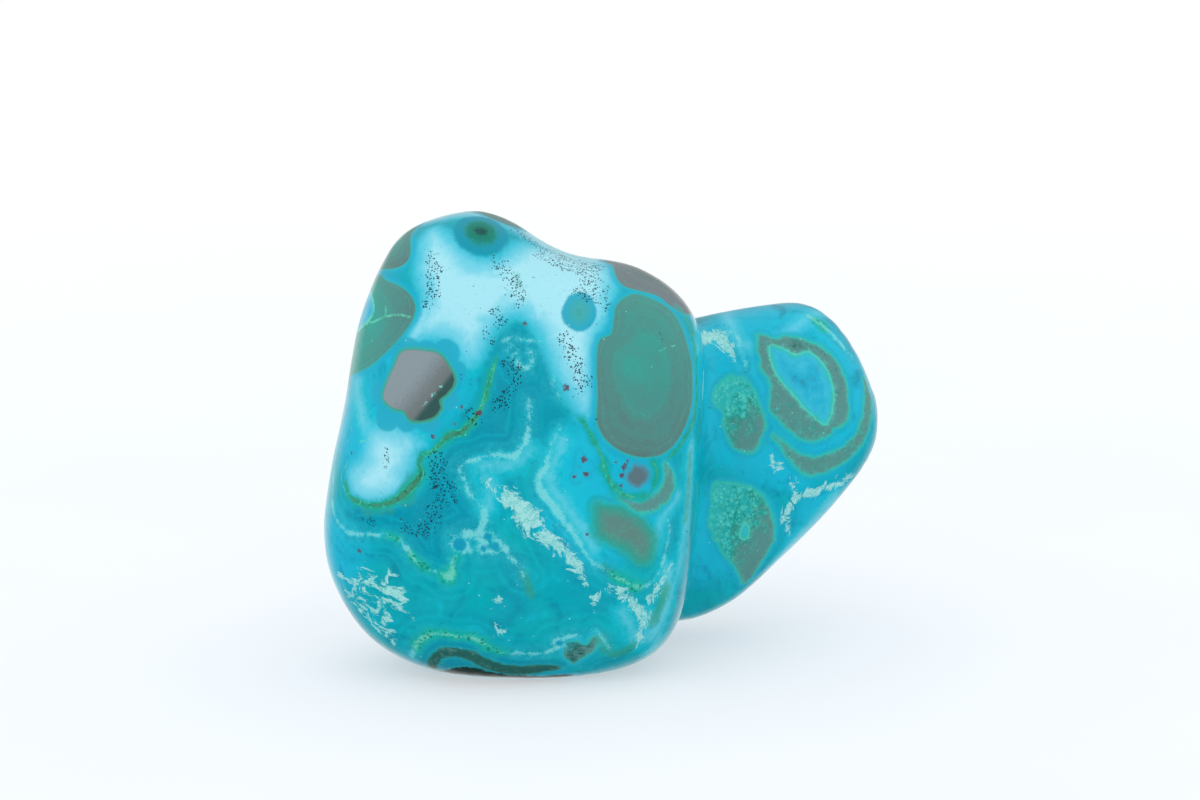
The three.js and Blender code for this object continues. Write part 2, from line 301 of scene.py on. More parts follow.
# Green-brown veins with a bright green fringe: a line and its half-width at each point.
VEINS = [
    # under the dark patch, round the tip of the pale tongue
    (FRONT, [(-11.6, 36.6), (-12.3, 34.2), (-13.3, 31.3), (-15.1, 29.1), (-16.5, 28.6), (-18.3, 26.9),
        (-19.3, 26.5), (-19.8, 25.5), (-19.6, 24.3), (-21.2, 22.4), (-22.6, 21.3), (-24.3, 20.7),
        (-26, 20.6), (-27.4, 21.2), (-27.9, 22.6)],
        [0.04, 0.16, 0.14, 0.28, 0.28, 0.1, 0.16, 0.12, 0.3, 0.4, 0.26, 0.2, 0.2, 0.12, 0.04]),
    (FRONT, [(-2.7, 30.3), (-1.9, 29.1), (-1.2, 27.6), (-0.5, 26.1), (-0.3, 25.1), (0.3, 23.6), (1.6, 22.1),
        (3.4, 21.5), (4.8, 21.9), (5.2, 22.9), (5.3, 24.3), (4.8, 25.2)],
        [0.02, 0.04, 0.05, 0.05, 0.1, 0.12, 0.08, 0.02, 0.02, 0.03, 0.05, 0.02]),
    (FRONT, [(7.6, 40.6), (8.8, 38.8), (9.5, 35.5), (9.7, 31), (9.1, 28.2), (6.6, 25.2)],
        [0.02, 0.04, 0.02, 0.04, 0.12, 0.04]),
    (BACK, [(25, 29.4), (23.6, 28.4), (21.6, 28.4), (19.4, 29.6), (16, 29.8), (13.6, 31.4), (11.6, 34),
        (11, 37)],
        [0.05, 0.24, 0.2, 0.3, 0.16, 0.2, 0.12, 0.05]),
    (BACK, [(0, 25), (1.2, 21.6), (2.6, 18.4), (5.6, 16.6), (7.4, 14.4)], [0.05, 0.2, 0.14, 0.2, 0.06]),
    (LEFT, [(3, 30.4), (1.4, 27), (2.6, 23.4), (5.4, 19.6), (4.6, 14.6)], [0.05, 0.16, 0.1, 0.24, 0.06]),
]

# White lace: a line and its half-width at each point.
LACE = [
    (FRONT, [(-8.2, 32.4), (-8.1, 30.6), (-8.3, 29.2), (-8.6, 27.8), (-9.4, 26.9), (-10.4, 26.5),
        (-12.1, 26.7), (-13.7, 26.2), (-15.3, 25.6), (-15.5, 25.1), (-14.9, 24.1), (-14.5, 22.9),
        (-13.5, 21.6), (-12.9, 20.6), (-12.9, 19.6), (-13.5, 18.5), (-14.9, 18.3)],
        [0.06, 0.14, 0.2, 0.3, 0.36, 0.32, 0.12, 0.1, 0.18, 0.22, 0.14, 0.14, 0.2, 0.35, 0.42, 0.5, 0.3]),
    (FRONT, [(-13.9, 16.6), (-15.6, 15.8), (-16.2, 15.3), (-16.2, 14.4), (-16.6, 13.3), (-17.4, 13.6),
        (-18.4, 14), (-19.7, 14.5), (-20.5, 15.3), (-21.3, 16.5), (-22.3, 17.3), (-24.4, 17.5),
        (-26.3, 17.3), (-27.6, 17.2), (-28.5, 17.9), (-29.3, 18.9), (-29.5, 20.6), (-29.2, 23.4)],
        [0.14, 0.12, 0.16, 0.14, 0.4, 0.24, 0.14, 0.16, 0.12, 0.14, 0.14, 0.16, 0.16, 0.22, 0.16, 0.14,
        0.14, 0.05]),
    (FRONT, [(-16.4, 18), (-14.6, 18), (-12.6, 17.3), (-11.2, 17), (-9.9, 15.4), (-8.8, 13.4)],
        [0.06, 0.2, 0.34, 0.26, 0.18, 0.05]),
    (FRONT, [(-5, 29.2), (-5.9, 27.4), (-6.3, 25.6), (-7.1, 24.2), (-7, 23), (-6, 21.6), (-4.9, 20),
        (-3.5, 18.2), (-2.4, 16.2), (-1.6, 14.9), (-0.3, 14.1), (1.4, 12.8), (3, 11.8), (4.2, 11.6),
        (5.5, 12.8), (6.3, 15), (6.7, 17.4), (6.5, 18.8)],
        [0.04, 0.14, 0.2, 0.3, 0.4, 0.42, 0.32, 0.24, 0.14, 0.06, 0.04, 0.12, 0.14, 0.14, 0.1, 0.06, 0.05,
        0.04]),
    # the rim line over the band along the foot
    (FRONT, [(-21, 3), (-20.4, 4.9), (-19.1, 6.2), (-17.8, 6.5), (-16, 6.2), (-14.3, 6.1), (-13.3, 5.5),
        (-11.5, 4.2)],
        [0.3, 0.3, 0.24, 0.16, 0.14, 0.2, 0.2, 0.12]),
    (FRONT, [(-11.5, 4.2), (-9.2, 4.2), (-7.2, 4.1), (-5.3, 4.8), (-4.4, 6), (-2.8, 6.4)],
        [0.06, 0.12, 0.12, 0.24, 0.3, 0.1]),
    (FRONT, [(-1.4, 7), (-0.4, 5.8), (0.2, 4.4)], [0.1, 0.12, 0.05]),
    # curls in the deep tongue
    (FRONT, [(-11.2, 38.2), (-10, 38.7), (-8.4, 38.3), (-7, 38.2)], [0.04, 0.06, 0.06, 0.04]),
    (FRONT, [(-10.4, 37.4), (-9.9, 37.9), (-9.3, 37.4), (-9.8, 36.9)], [0.05, 0.06, 0.06, 0.03]),
    (FRONT, [(-9.4, 36.3), (-9.1, 35.8), (-8.5, 35.5), (-7.9, 36), (-7.9, 36.9), (-8.3, 37.3)],
        [0.05, 0.13, 0.16, 0.2, 0.13, 0.04]),
    (FRONT, [(-5.5, 34.6), (-5.6, 33.5), (-5.1, 32.8), (-4.4, 32.5)], [0.03, 0.08, 0.06, 0.03]),
    (FRONT, [(22.6, 36.8), (24.4, 35.6), (26, 34), (27.6, 32)], [0.2, 0.4, 0.3, 0.15]),
    (FRONT, [(12.6, 37.4), (13.8, 35.6), (14.9, 33.6), (15.5, 32)], [0.16, 0.12, 0.14, 0.06]),
    (BACK, [(29, 24), (26, 23), (23, 24.5), (20, 23.8), (17, 25.4), (14, 24), (12, 21), (9, 19.6),
        (6, 20.4), (4, 18)],
        [0.1, 0.3, 0.16, 0.4, 0.3, 0.16, 0.4, 0.3, 0.16, 0.06]),
    (BACK, [(26, 8), (22, 10), (19, 9), (15.6, 10), (12, 8.4), (10, 5)], [0.1, 0.2, 0.35, 0.14, 0.3, 0.06]),
    (BACK, [(-8, 36), (-7, 32), (-9, 28), (-10.4, 22), (-8.6, 16), (-10, 12)],
        [0.1, 0.2, 0.3, 0.14, 0.3, 0.06]),
    (LEFT, [(8, 32), (5.6, 29), (5.4, 25), (7, 21), (5, 17), (4.6, 11), (7, 7)],
        [0.06, 0.2, 0.3, 0.14, 0.2, 0.3, 0.05]),
    (RIGHT, [(10, 21), (13, 19), (14, 15), (12.6, 11.6)], [0.06, 0.3, 0.2, 0.06]),
    (BELOW, [(-20, -6), (-14, -10), (-7, -11), (0, -8), (3, -2), (0, 4)],
        [0.1, 0.2, 0.14, 0.2, 0.14, 0.05]),
]

# Thin light-green threads: a line and its half-width.
THREADS = [
    (FRONT_LEFT, [(-13.4, 42), (-11.4, 41.2), (-10.8, 40.1), (-12.2, 38.8), (-14.6, 37.4)], 0.16),
    (FRONT_LEFT, [(-12.2, 38.8), (-10.3, 39.4), (-8.4, 40.2), (-6.6, 40.6), (-5, 40.4)], 0.1),
    (FRONT_LEFT, [(-8.4, 40.2), (-8.8, 41.2)], 0.08),
    (FRONT, [(5.4, 36.7), (6.4, 37), (7.4, 37.1)], 0.04),
    (FRONT, [(-26.6, 31), (-27.4, 28.6), (-26.4, 27), (-25.2, 27.6)], 0.05),
    (FRONT, [(-27.6, 24.6), (-28.4, 22.8), (-27.8, 21.2)], 0.05),
    (BACK, [(16, 33), (19, 34), (22, 37)], 0.05),
]

# Small blue eyes in the lace: middle and radius.
LACE_RINGS = [
    (FRONT, (-15.5, 17), 0.75),
    (FRONT, (-12.5, 17.9), 0.5),
    (FRONT, (-11.8, 16.8), 0.55),
    (FRONT, (-13, 16.6), 0.42),
    (FRONT, (-5, 5.4), 0.45),
    (BACK, (8.8, 18.4), 0.8),
    (BACK, (7.4, 19), 0.5),
]

# Where lace turns green: middle and radius.
GREEN_TINTS = [
    (FRONT, (-16.6, 13), 1.7),
    (FRONT, (-15.7, 15.4), 0.6),
    (FRONT, (-20, 14.6), 1.6),
    (FRONT, (-22.6, 17.4), 0.9),
    (FRONT, (2, 12.4), 2.2),
    (FRONT, (-18, 6.2), 4),
    (FRONT, (-13, 5.6), 3),
    (FRONT, (24, 36), 1.2),
    (BACK, (20, 24), 2.4),
    (BACK, (-9, 27), 2.4),
]

# Pale chalk, matte and a little sunk: a line and its half-width at each point.
CHALK = [
    (FRONT, [(0.2, 11.7), (1.4, 11.1), (2.6, 10), (3.5, 8.9), (4, 7.7), (3.7, 6.1), (3.5, 4.4)],
        [0.2, 0.45, 0.5, 0.65, 0.5, 0.3, 0.12]),
    (FRONT, [(3.8, 9.1), (4.9, 10.3), (5.9, 11.6), (7, 13.6)], [0.5, 0.35, 0.35, 0.1]),
    (FRONT, [(-0.8, 11.2), (-1.2, 10.6), (-1.4, 9.6)], [0.12, 0.4, 0.1]),
    (FRONT, [(-11.4, 11), (-11.9, 9.9)], [0.12, 0.14]),
    (FRONT, [(-11.9, 7.6), (-11.4, 6.9)], [0.15, 0.35]),
    (FRONT, [(10.9, 36.4), (12, 35.4), (13, 34.6), (14, 33.3)], [0.9, 0.9, 0.6, 0.25]),
    (FRONT, [(18.3, 22.1), (19.1, 20.7)], [0.15, 0.35]),
    (FRONT, [(20.4, 19.6), (20.9, 17.2), (20, 14.9), (20.6, 12.6)], [0.15, 0.45, 0.4, 0.15]),
    (FRONT, [(20.9, 16.9), (22.2, 17.4), (23.9, 17.8), (26, 18.2), (27.6, 18.6)],
        [0.4, 0.4, 0.35, 0.6, 0.35]),
    (BACK, [(9, 15.6), (11.4, 13), (12.6, 10), (16, 8)], [0.2, 0.7, 0.8, 0.1]),
    (BACK, [(-17, 17), (-14, 15), (-12.6, 12)], [0.2, 0.6, 0.3]),
    (BACK, [(-24.6, 20), (-22.6, 17), (-23, 14.6)], [0.2, 0.5, 0.1]),
    (LEFT, [(-8, 11), (-5, 9), (-3.6, 6)], [0.2, 0.6, 0.3]),
    (RIGHT, [(8, 20), (10, 17.4), (9.4, 14)], [0.2, 0.5, 0.2]),
]

# The largest patch of chalk, as a closed outline.
CHALK_PATCHES = [
    (FRONT, [(-13.2, 23.9), (-12.3, 23.5), (-11.2, 22.9), (-10.4, 23.1), (-9.1, 22.2), (-8.1, 21.2),
        (-7, 20.1), (-6.7, 19.2), (-5.8, 18.1), (-4.9, 17.4), (-4.1, 16.7), (-3, 15.3), (-2.6, 14),
        (-2.2, 12.4), (-2.8, 13.1), (-4.2, 14.5), (-4.7, 15.5), (-5.7, 16.2), (-7.2, 17.4), (-7.3, 18.1),
        (-6.9, 18.5), (-7.2, 19.1), (-7.9, 18.8), (-8.3, 17.6), (-8.8, 18.5), (-9.3, 19.5), (-10.1, 20.7),
        (-11, 21.7), (-11.5, 22.5), (-12.8, 23.3)]),
]

# Fields of small chalk flakes, as closed outlines.
FLAKES = [
    (LEFT_LOW, [(-17.2, 16), (-15.6, 13.4), (-14.2, 15), (-12.4, 13.2), (-11.6, 9.6), (-12, 7),
        (-13.6, 8.4), (-14, 5), (-15.6, 3.8), (-18.4, 6.4), (-21, 9.6), (-22.4, 14.4), (-20.6, 12.8),
        (-18.6, 13)]),
    (LEFT, [(5.4, 18), (7.6, 14), (8, 8), (5, 7.4), (4, 12)]),
    (BACK, [(24, 14), (26, 10), (22, 5), (18, 6), (20, 11)]),
    (BACK, [(-20, 16), (-16, 15), (-14, 10), (-17, 9.6)]),
]

# Clusters of tiny black specks: a line and the cluster's half-width.
SPECKS = [
    (FRONT, [(-18.7, 46.6), (-18.1, 45.2), (-18.4, 43.3), (-18.9, 42)], 1.4),
    (FRONT, [(-11.8, 46), (-11.6, 45.6)], 1.3),
    (FRONT, [(-10.8, 45.5), (-9.7, 44.2), (-9.3, 42)], 1.5),
    (FRONT, [(-7.2, 46), (-5, 45), (-2.8, 44.4), (-0.7, 43)], 1.7),
    (CROWN, [(-9.5, 20), (-5, 19), (-1.5, 17)], 1.8),
    (FRONT, [(-3, 42.8), (0.2, 41.6)], 1),
    (FRONT, [(-11.9, 41.2), (-10.9, 40.4)], 1),
    (FRONT, [(-13, 39.4), (-12.2, 38.4)], 0.8),
    (FRONT, [(-10.4, 36.2), (-9.6, 34.3), (-10.9, 32.5), (-11.5, 31.6)], 1.2),
    (FRONT, [(-4.4, 38.7), (-3.6, 37.3), (-3, 35.3), (-2.8, 33)], 1.2),
    (FRONT, [(-17.8, 26.2), (-17.8, 24.1), (-17.6, 21.8), (-18.6, 20.1)], 1.8),
    (FRONT, [(-16.4, 23.4), (-16.2, 21.8)], 1.2),
    (FRONT, [(-18.6, 18.5), (-21, 18.3), (-21.6, 19.4)], 0.9),
    (FRONT, [(-25.8, 19.1), (-24.9, 18.9)], 0.8),
    (FRONT, [(-23.2, 26.6), (-23.4, 25)], 0.8),
    (FRONT, [(-14.4, 31), (-13.8, 30.2)], 0.9),
    (BACK, [(11, 40), (13.4, 37), (12.6, 33.4)], 1.8),
    (BACK, [(4, 43), (8, 45), (16, 44.6)], 1.8),
    (BACK, [(26, 20), (25, 15)], 1.6),
    (BACK, [(9, 22), (6, 23)], 1.4),
    (BACK, [(-8, 30), (-7, 27)], 1.2),
    (LEFT, [(-4, 40), (0, 38)], 1.8),
]

# Dark red spots: middle and radius.
RUST = [
    (FRONT, (-4.3, 33.5), 0.36),
    (FRONT, (-13.4, 31), 0.34),
    (FRONT, (-16, 29.9), 0.2),
    (FRONT, (-8.6, 40), 0.26),
    (FRONT, (-18.2, 28.4), 0.25),
    (FRONT, (-2.4, 26), 0.34),
    (FRONT, (-3.4, 24.2), 0.2),
    (FRONT, (-2.2, 24.4), 0.28),
    (FRONT, (-2, 18), 0.2),
    (FRONT, (1.1, 25.6), 0.24),
    (FRONT, (2.2, 25.6), 0.16),
    (FRONT, (1.5, 22.9), 0.2),
    (FRONT, (-3, 25.2), 0.16),
    (FRONT, (-15.2, 31.6), 0.2),
    (FRONT, (-27.2, 25.6), 0.16),
    (FRONT, (1.9, 24.9), 0.35),
    (FRONT, (1.6, 24), 0.3),
    (FRONT, (-26.4, 15.4), 0.25),
    (BACK, (7.6, 24), 0.4),
    (BACK, (24, 29.6), 0.35),
    (BACK, (22.6, 25.4), 0.3),
    (LEFT, (0, 27), 0.35),
]

# The blurred brown blotch in the green loop, and one more round the back: middle and radius.
BLOTCHES = [
    (FRONT, (3.3, 23.8), 1.6),
    (BACK, (-6.4, 14), 1.2),
]

# Olive streaks with very soft edges: a line and its half-width.
OLIVE = [
    (RIGHT_STRIP, [(2.4, 25), (2.2, 21), (1.7, 18)], 0.35),
    (RIGHT_STRIP, [(-1.2, 10.8), (-1.8, 9), (-2.3, 7.4)], 0.75),
    (FRONT, [(-0.6, 5.8), (0, 4.4), (1.2, 3.6), (2.8, 4.6)], 0.6),
    (FRONT, [(-8.8, 13.8), (-8, 11.4)], 0.4),
    (FRONT, [(-20.4, 23.6), (-21.4, 21.8)], 0.9),
    (FRONT, [(-23, 20.6), (-25.4, 20)], 0.5),
    (FRONT, [(-0.6, 14.4), (1, 13.2)], 0.3),
    (FRONT, [(-9.4, 44.6), (-9.2, 43.4)], 0.15),
    (BACK, [(18, 26), (14, 22), (12, 18)], 0.8),
    (BACK, [(0, 16), (1.6, 12)], 0.8),
    (BACK, [(-26, 17), (-22, 15)], 0.7),
    (RIGHT, [(12, 37), (15, 36.4)], 0.6),
    (BELOW, [(-22, 0), (-19, 6)], 0.8),
]

# ---- the stone's mesh ----

SUBDIVISIONS = 2
SMOOTHING_ROUNDS = 24
MERGE_DISTANCE = 1e-6  # m


def fine_stone():
    """The CAD node's shape as a smooth fine mesh in a new object."""
    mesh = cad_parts[NODE].data.copy()
    shape = bmesh.new()
    shape.from_mesh(mesh)
    bmesh.ops.remove_doubles(shape, verts=shape.verts, dist=MERGE_DISTANCE)
    shape.to_mesh(mesh)
    shape.free()
    rough = bpy.data.objects.new("rough_stone", mesh)
    bpy.context.scene.collection.objects.link(rough)
    finer = rough.modifiers.new("finer", "SUBSURF")
    finer.levels = finer.render_levels = SUBDIVISIONS
    even = rough.modifiers.new("even", "SMOOTH")
    even.iterations = SMOOTHING_ROUNDS
    graph = bpy.context.evaluated_depsgraph_get()
    fine = bpy.data.meshes.new_from_object(rough.evaluated_get(graph))
    bpy.data.objects.remove(rough)
    stone = bpy.data.objects.new("polished_stone", fine)
    bpy.context.scene.collection.objects.link(stone)
    fine.materials.clear()
    fine.shade_smooth()
    return stone


def read_points(mesh, what):
    values = np.zeros(len(mesh.vertices) * 3)
    mesh.vertices.foreach_get(what, values)
    return values.reshape(-1, 3)


stone = fine_stone()
points = read_points(stone.data, "co") / MM
normals = read_points(stone.data, "normal")
surface = BVHTree.FromPolygons(points.tolist(), [tuple(p.vertices) for p in stone.data.polygons])

# ---- laying lines and outlines on the surface ----

FAR = 6.0  # mm, beyond which a distance isn't needed
OUTSIDE = 100.0  # mm, a start for rays well clear of the stone
LINE_STEPS = 6  # points on a smooth line between two given ones
EDGE_ON = -0.35  # surface that faces further away than this isn't marked
TINY = 1e-9  # keeps a division from failing


def side_axes(side):
    """Unit vectors to the right, up and towards the viewer who looks from a side."""
    azimuth, elevation = (math.radians(angle) for angle in side)
    across = np.array([math.cos(azimuth), math.sin(azimuth), 0])
    away = math.cos(elevation)
    towards = np.array([math.sin(azimuth) * away, -math.cos(azimuth) * away, math.sin(elevation)])
    return across, np.cross(towards, across), towards


def on_stone(side, places):
    """The surface points at these places as seen from a side."""
    across, up, towards = side_axes(side)
    found = []
    for a, b in places:
        start = Vector(across * a + up * b + towards * OUTSIDE)
        hit = surface.ray_cast(start, -Vector(towards))[0]
        found.append(hit or surface.find_nearest(Vector(across * a + up * b))[0])
    return np.array(found)


def smooth_line(corners, closed=False):
    """A Catmull-Rom line through the corners, laid on the surface."""
    if closed:
        padded = np.concatenate([corners[-1:], corners, corners[:2]])
    else:
        padded = np.concatenate([corners[:1], corners, corners[-1:]])
    line = []
    for p0, p1, p2, p3 in zip(padded, padded[1:], padded[2:], padded[3:]):
        for t in np.arange(LINE_STEPS) / LINE_STEPS:
            bend = (2 * p0 - 5 * p1 + 4 * p2 - p3) * t**2 + (3 * p1 - p0 - 3 * p2 + p3) * t**3
            line.append(p1 + 0.5 * ((p2 - p0) * t + bend))
    line.append(padded[-2])
    return np.array([surface.find_nearest(Vector(p))[0] for p in line])


def line_distance(line, half=0.0):
    """Each mesh point's distance from a line, less the line's half-width there."""
    half = np.broadcast_to(half, len(line))
    distance = np.full(len(points), FAR)
    low, high = line.min(0) - FAR, line.max(0) + FAR
    near = np.where(((points > low) & (points < high)).all(1))[0]
    here = points[near]
    best = np.full(len(near), FAR)
    for a, b, wide_a, wide_b in zip(line, line[1:], half, half[1:]):
        along = b - a
        share = np.clip((here - a) @ along / max(along @ along, TINY), 0, 1)
        gap = np.linalg.norm(here - a - share[:, None] * along, axis=1)
        best = np.minimum(best, gap - (wide_a + share * (wide_b - wide_a)))
    distance[near] = best
    return distance


def strip_distance(side, places, half):
    """As line_distance, for a smooth line with a half-width given at each of its places."""
    line = smooth_line(on_stone(side, places))
    given = np.broadcast_to(half, len(places))
    steps = np.linspace(0, len(places) - 1, len(line))
    return line_distance(line, np.interp(steps, np.arange(len(places)), given))


def disc_distance(side, middle, radius):
    """Each mesh point's distance from the rim of a round spot, negative inside."""
    centre = on_stone(side, [middle])[0]
    return np.minimum(np.linalg.norm(points - centre, axis=1) - radius, FAR)


def outline_distance(side, places):
    """Each mesh point's distance from a closed outline, negative inside."""
    ring = smooth_line(on_stone(side, places), closed=True)
    middle = ring.mean(0)
    _, _, axes = np.linalg.svd(ring - middle)
    facing = axes[2] * np.sign(axes[2] @ side_axes(side)[2])
    distance = line_distance(ring)
    flat_ring = (ring - middle) @ axes[:2].T
    flat = (points - middle) @ axes[:2].T
    inside = np.zeros(len(points), bool)
    for (ax, ay), (bx, by) in zip(flat_ring, flat_ring[1:]):
        if ay == by:
            continue
        crosses = (flat[:, 1] < ay) != (flat[:, 1] < by)
        inside ^= crosses & (flat[:, 0] < ax + (bx - ax) * (flat[:, 1] - ay) / (by - ay))
    reach = np.linalg.norm(ring - middle, axis=1).max()
    near = np.linalg.norm(points - middle, axis=1) < reach + FAR
    inside &= near & (normals @ facing > EDGE_ON)
    return np.where(inside, -distance, distance)


# ---- the distances that the material reads, one mesh attribute each ----

fields = {}


def nearest_of(name, distances):
    """Keeps each mesh point's distance from the nearest marking of a kind."""
    fields[name] = np.minimum.reduce([np.full(len(points), FAR), *distances])


def laid(distance, markings):
    """The distances from each of these markings, measured with one of the functions above."""
    return [distance(*marking) for marking in markings]


# Each attribute that is only a distance from the nearest of a list, and how the list is laid.
SIMPLE_MARKINGS = [
    ("pale", outline_distance, PALE_AREAS),
    ("deep", outline_distance, DEEP_AREAS),
    ("blue", disc_distance, BLUE_AREAS),
    ("milky_and_sheen", strip_distance, MILKY_AND_SHEEN),
    ("smudge", outline_distance, SMUDGES),
    ("flakes", outline_distance, FLAKES),
    ("halo", disc_distance, HALOS),
    ("rust", disc_distance, RUST),
    ("blotch", disc_distance, BLOTCHES),
    ("green", disc_distance, GREEN_TINTS),
    ("olive", strip_distance, OLIVE),
    ("vein", strip_distance, VEINS),
    ("thread", strip_distance, THREADS),
]


def lay_simple_markings():
    for name, distance, markings in SIMPLE_MARKINGS:
        nearest_of(name, laid(distance, markings))


LEAN_REACH = 5.0  # mm over which a lean in brown takes full effect


def malachite_layer(spot):
    """One eye or moss: its rim distance, its brown, how far in each point is, and its hole."""
    rim = outline_distance(spot["side"], spot["outline"])
    inward = np.maximum(-rim, 0)
    middle = on_stone(spot["side"], [spot["middle"]])[0]
    to_middle = np.linalg.norm(points - middle, axis=1)
    hole = np.full(len(points), FAR)
    if "hole" in spot:
        hole = outline_distance(spot["side"], spot["hole"])
        to_middle = np.maximum(hole, 0)
        rim = np.maximum(rim, -hole)
    depth = inward / (inward + to_middle + TINY)
    across, up, _ = side_axes(spot["side"])
    lean = (points - middle) @ (across * spot["lean"][0] + up * spot["lean"][1]) / LEAN_REACH
    return rim, spot["brown"] + spot["lean"][2] * lean, depth, hole


def band_layer(band):
    """As malachite_layer, for a band, which has no middle and no hole."""
    rim = strip_distance(band["side"], band["line"], band["half"])
    return rim, np.full(len(points), band["brown"])


def keep_seen(names, layers):
    """Where layers overlap, the one whose rim is deeper in is seen. Keeps what it says by name."""
    seen = [np.full(len(points), FAR), *np.zeros((len(names) - 1, len(points)))]
    for layer in layers:
        closer = layer[0] < seen[0]
        seen = [np.where(closer, new, old) for new, old in zip(layer, seen)]
    fields.update(zip(names, seen))


def lay_malachite():
    eye_layers = [malachite_layer(eye) for eye in EYES]
    moss_layers = [malachite_layer(moss) for moss in MOSS]
    keep_seen(("eye", "eye_brown", "eye_depth"), eye_layers)
    keep_seen(("moss", "moss_brown"), moss_layers + [band_layer(band) for band in BANDS])
    nearest_of("eye_pool", [layer[-1] for layer in eye_layers])
    nearest_of("moss_pool", [layer[-1] for layer in moss_layers])


def lay_dark_patch():
    fields["patch"] = outline_distance(*DARK_PATCH)
    place, direction = BEHIND_RIDGE
    across, up, _ = side_axes(FRONT)
    from_ridge = points - on_stone(FRONT, [place])[0]
    fields["patch_side"] = from_ridge @ (across * direction[0] + up * direction[1])
    nearest_of("scratch", [strip_distance(*RIDGE_SCRATCH, 0)])


def lay_spots():
    """How far out each point is in an oval spot, 1 at its rim, and how dark the spot's core is."""
    spot = np.full(len(points), FAR)
    core = np.zeros(len(points))
    for side, middle, halves, strength in SPOTS:
        across, up, towards = side_axes(side)
        aside = (points @ across - middle[0]) / halves[0]
        above = (points @ up - middle[1]) / halves[1]
        share = np.where(normals @ towards > EDGE_ON, np.hypot(aside, above), FAR)
        closer = share < spot
        spot = np.where(closer, share, spot)
        core = np.where(closer, strength, core)
    fields.update(spot=spot, spot_core=core)


LACE_RING_HALF = 0.22  # mm, half the width of a ring's line


def lay_lace():
    """Lace lines and rings, cleared from the blue eyes inside the rings."""
    eyes_in_lace = laid(disc_distance, LACE_RINGS)
    nearest_of("lace_eye", eyes_in_lace)
    rings = [np.abs(eye) - LACE_RING_HALF for eye in eyes_in_lace]
    nearest_of("lace", laid(strip_distance, LACE) + rings)
    fields["lace"] = np.maximum(fields["lace"], -fields["lace_eye"])


def lay_chalk():
    nearest_of("chalk", laid(strip_distance, CHALK) + laid(outline_distance, CHALK_PATCHES))


def lay_specks():
    """How thick the specks lie, 1 in the middle of a cluster and 0 outside."""
    clusters = [strip_distance(side, line, 0) / wide for side, line, wide in SPECKS]
    fields["specks"] = np.clip(1 - np.minimum.reduce(clusters), 0, 1)


def keep_fields():
    for name, values in fields.items():
        attribute = stone.data.attributes.new(name, "FLOAT", "POINT")
        attribute.data.foreach_set("value", values.astype(np.float32))


lay_simple_markings()
lay_malachite()
lay_dark_patch()
lay_spots()
lay_lace()
lay_chalk()
lay_specks()

# ---- relief worn into the mesh ----

CHALK_SINK = 0.09  # mm
CHALK_SHORE = 0.4  # mm over which the chalk sinks at its edge
RIDGE_HEIGHT = 0.5  # mm
RIDGE_WIDTH = 1.9  # mm


def wear_relief():
    """Sinks the chalk a little and raises the ridge across the dark patch."""
    ridge = strip_distance(*RIDGE, 0)
    lift = RIDGE_HEIGHT * np.exp(-((np.maximum(ridge, 0) / RIDGE_WIDTH) ** 2))
    sink = CHALK_SINK * np.clip(0.5 - fields["chalk"] / CHALK_SHORE, 0, 1)
    moved = points + normals * (lift - sink)[:, None]
    stone.data.vertices.foreach_set("co", (moved * MM).ravel())
    stone.data.update()


wear_relief()
keep_fields()

# ---- a short way of writing shader nodes ----


def srgb(red, green, blue):
    """A colour given as it looks on a screen, 0 to 255, in the shader's linear values."""

    def linear(value):
        share = value / 255
        return share / 12.92 if share <= 0.04045 else ((share + 0.055) / 1.055) ** 2.4

    return (linear(red), linear(green), linear(blue), 1.0)


SHIFT_STEP = 17.3  # mm between one noise and the next
MIX_VALUE_A = 2  # the Mix node's first input for plain values, with the second after it
MIX_COLOUR_A = 6  # its first input for colours, with the second after it
MIX_COLOUR_RESULT = 2


class Value:
    """A shader socket that sums and products can be written with."""

    def __init__(self, shader, socket):
        self.shader = shader
        self.socket = socket

    def math(self, operation, other=None, third=None):
        node = self.shader.new("ShaderNodeMath")
        node.operation = operation
        for slot, value in enumerate((self, other, third)):
            if value is not None:
                self.shader.feed(node.inputs[slot], value)
        return Value(self.shader, node.outputs[0])

    def __add__(self, other):
        return self.math("ADD", other)

    def __sub__(self, other):
        return self.math("SUBTRACT", other)

    def __mul__(self, other):
        return self.math("MULTIPLY", other)

    def size(self):
        return self.math("ABSOLUTE")

    def lower(self, other):
        return self.math("MINIMUM", other)

    def higher(self, other):
        return self.math("MAXIMUM", other)

    def step(self, low, high, to_low=0.0, to_high=1.0):
        """Runs smoothly from to_low at low to to_high at high."""
        node = self.shader.new("ShaderNodeMapRange")
        node.interpolation_type = "SMOOTHSTEP"
        self.shader.feed(node.inputs["Value"], self)
        for name, value in (("From Min", low), ("From Max", high), ("To Min", to_low), ("To Max", to_high)):
            self.shader.feed(node.inputs[name], value)
        return Value(self.shader, node.outputs[0])


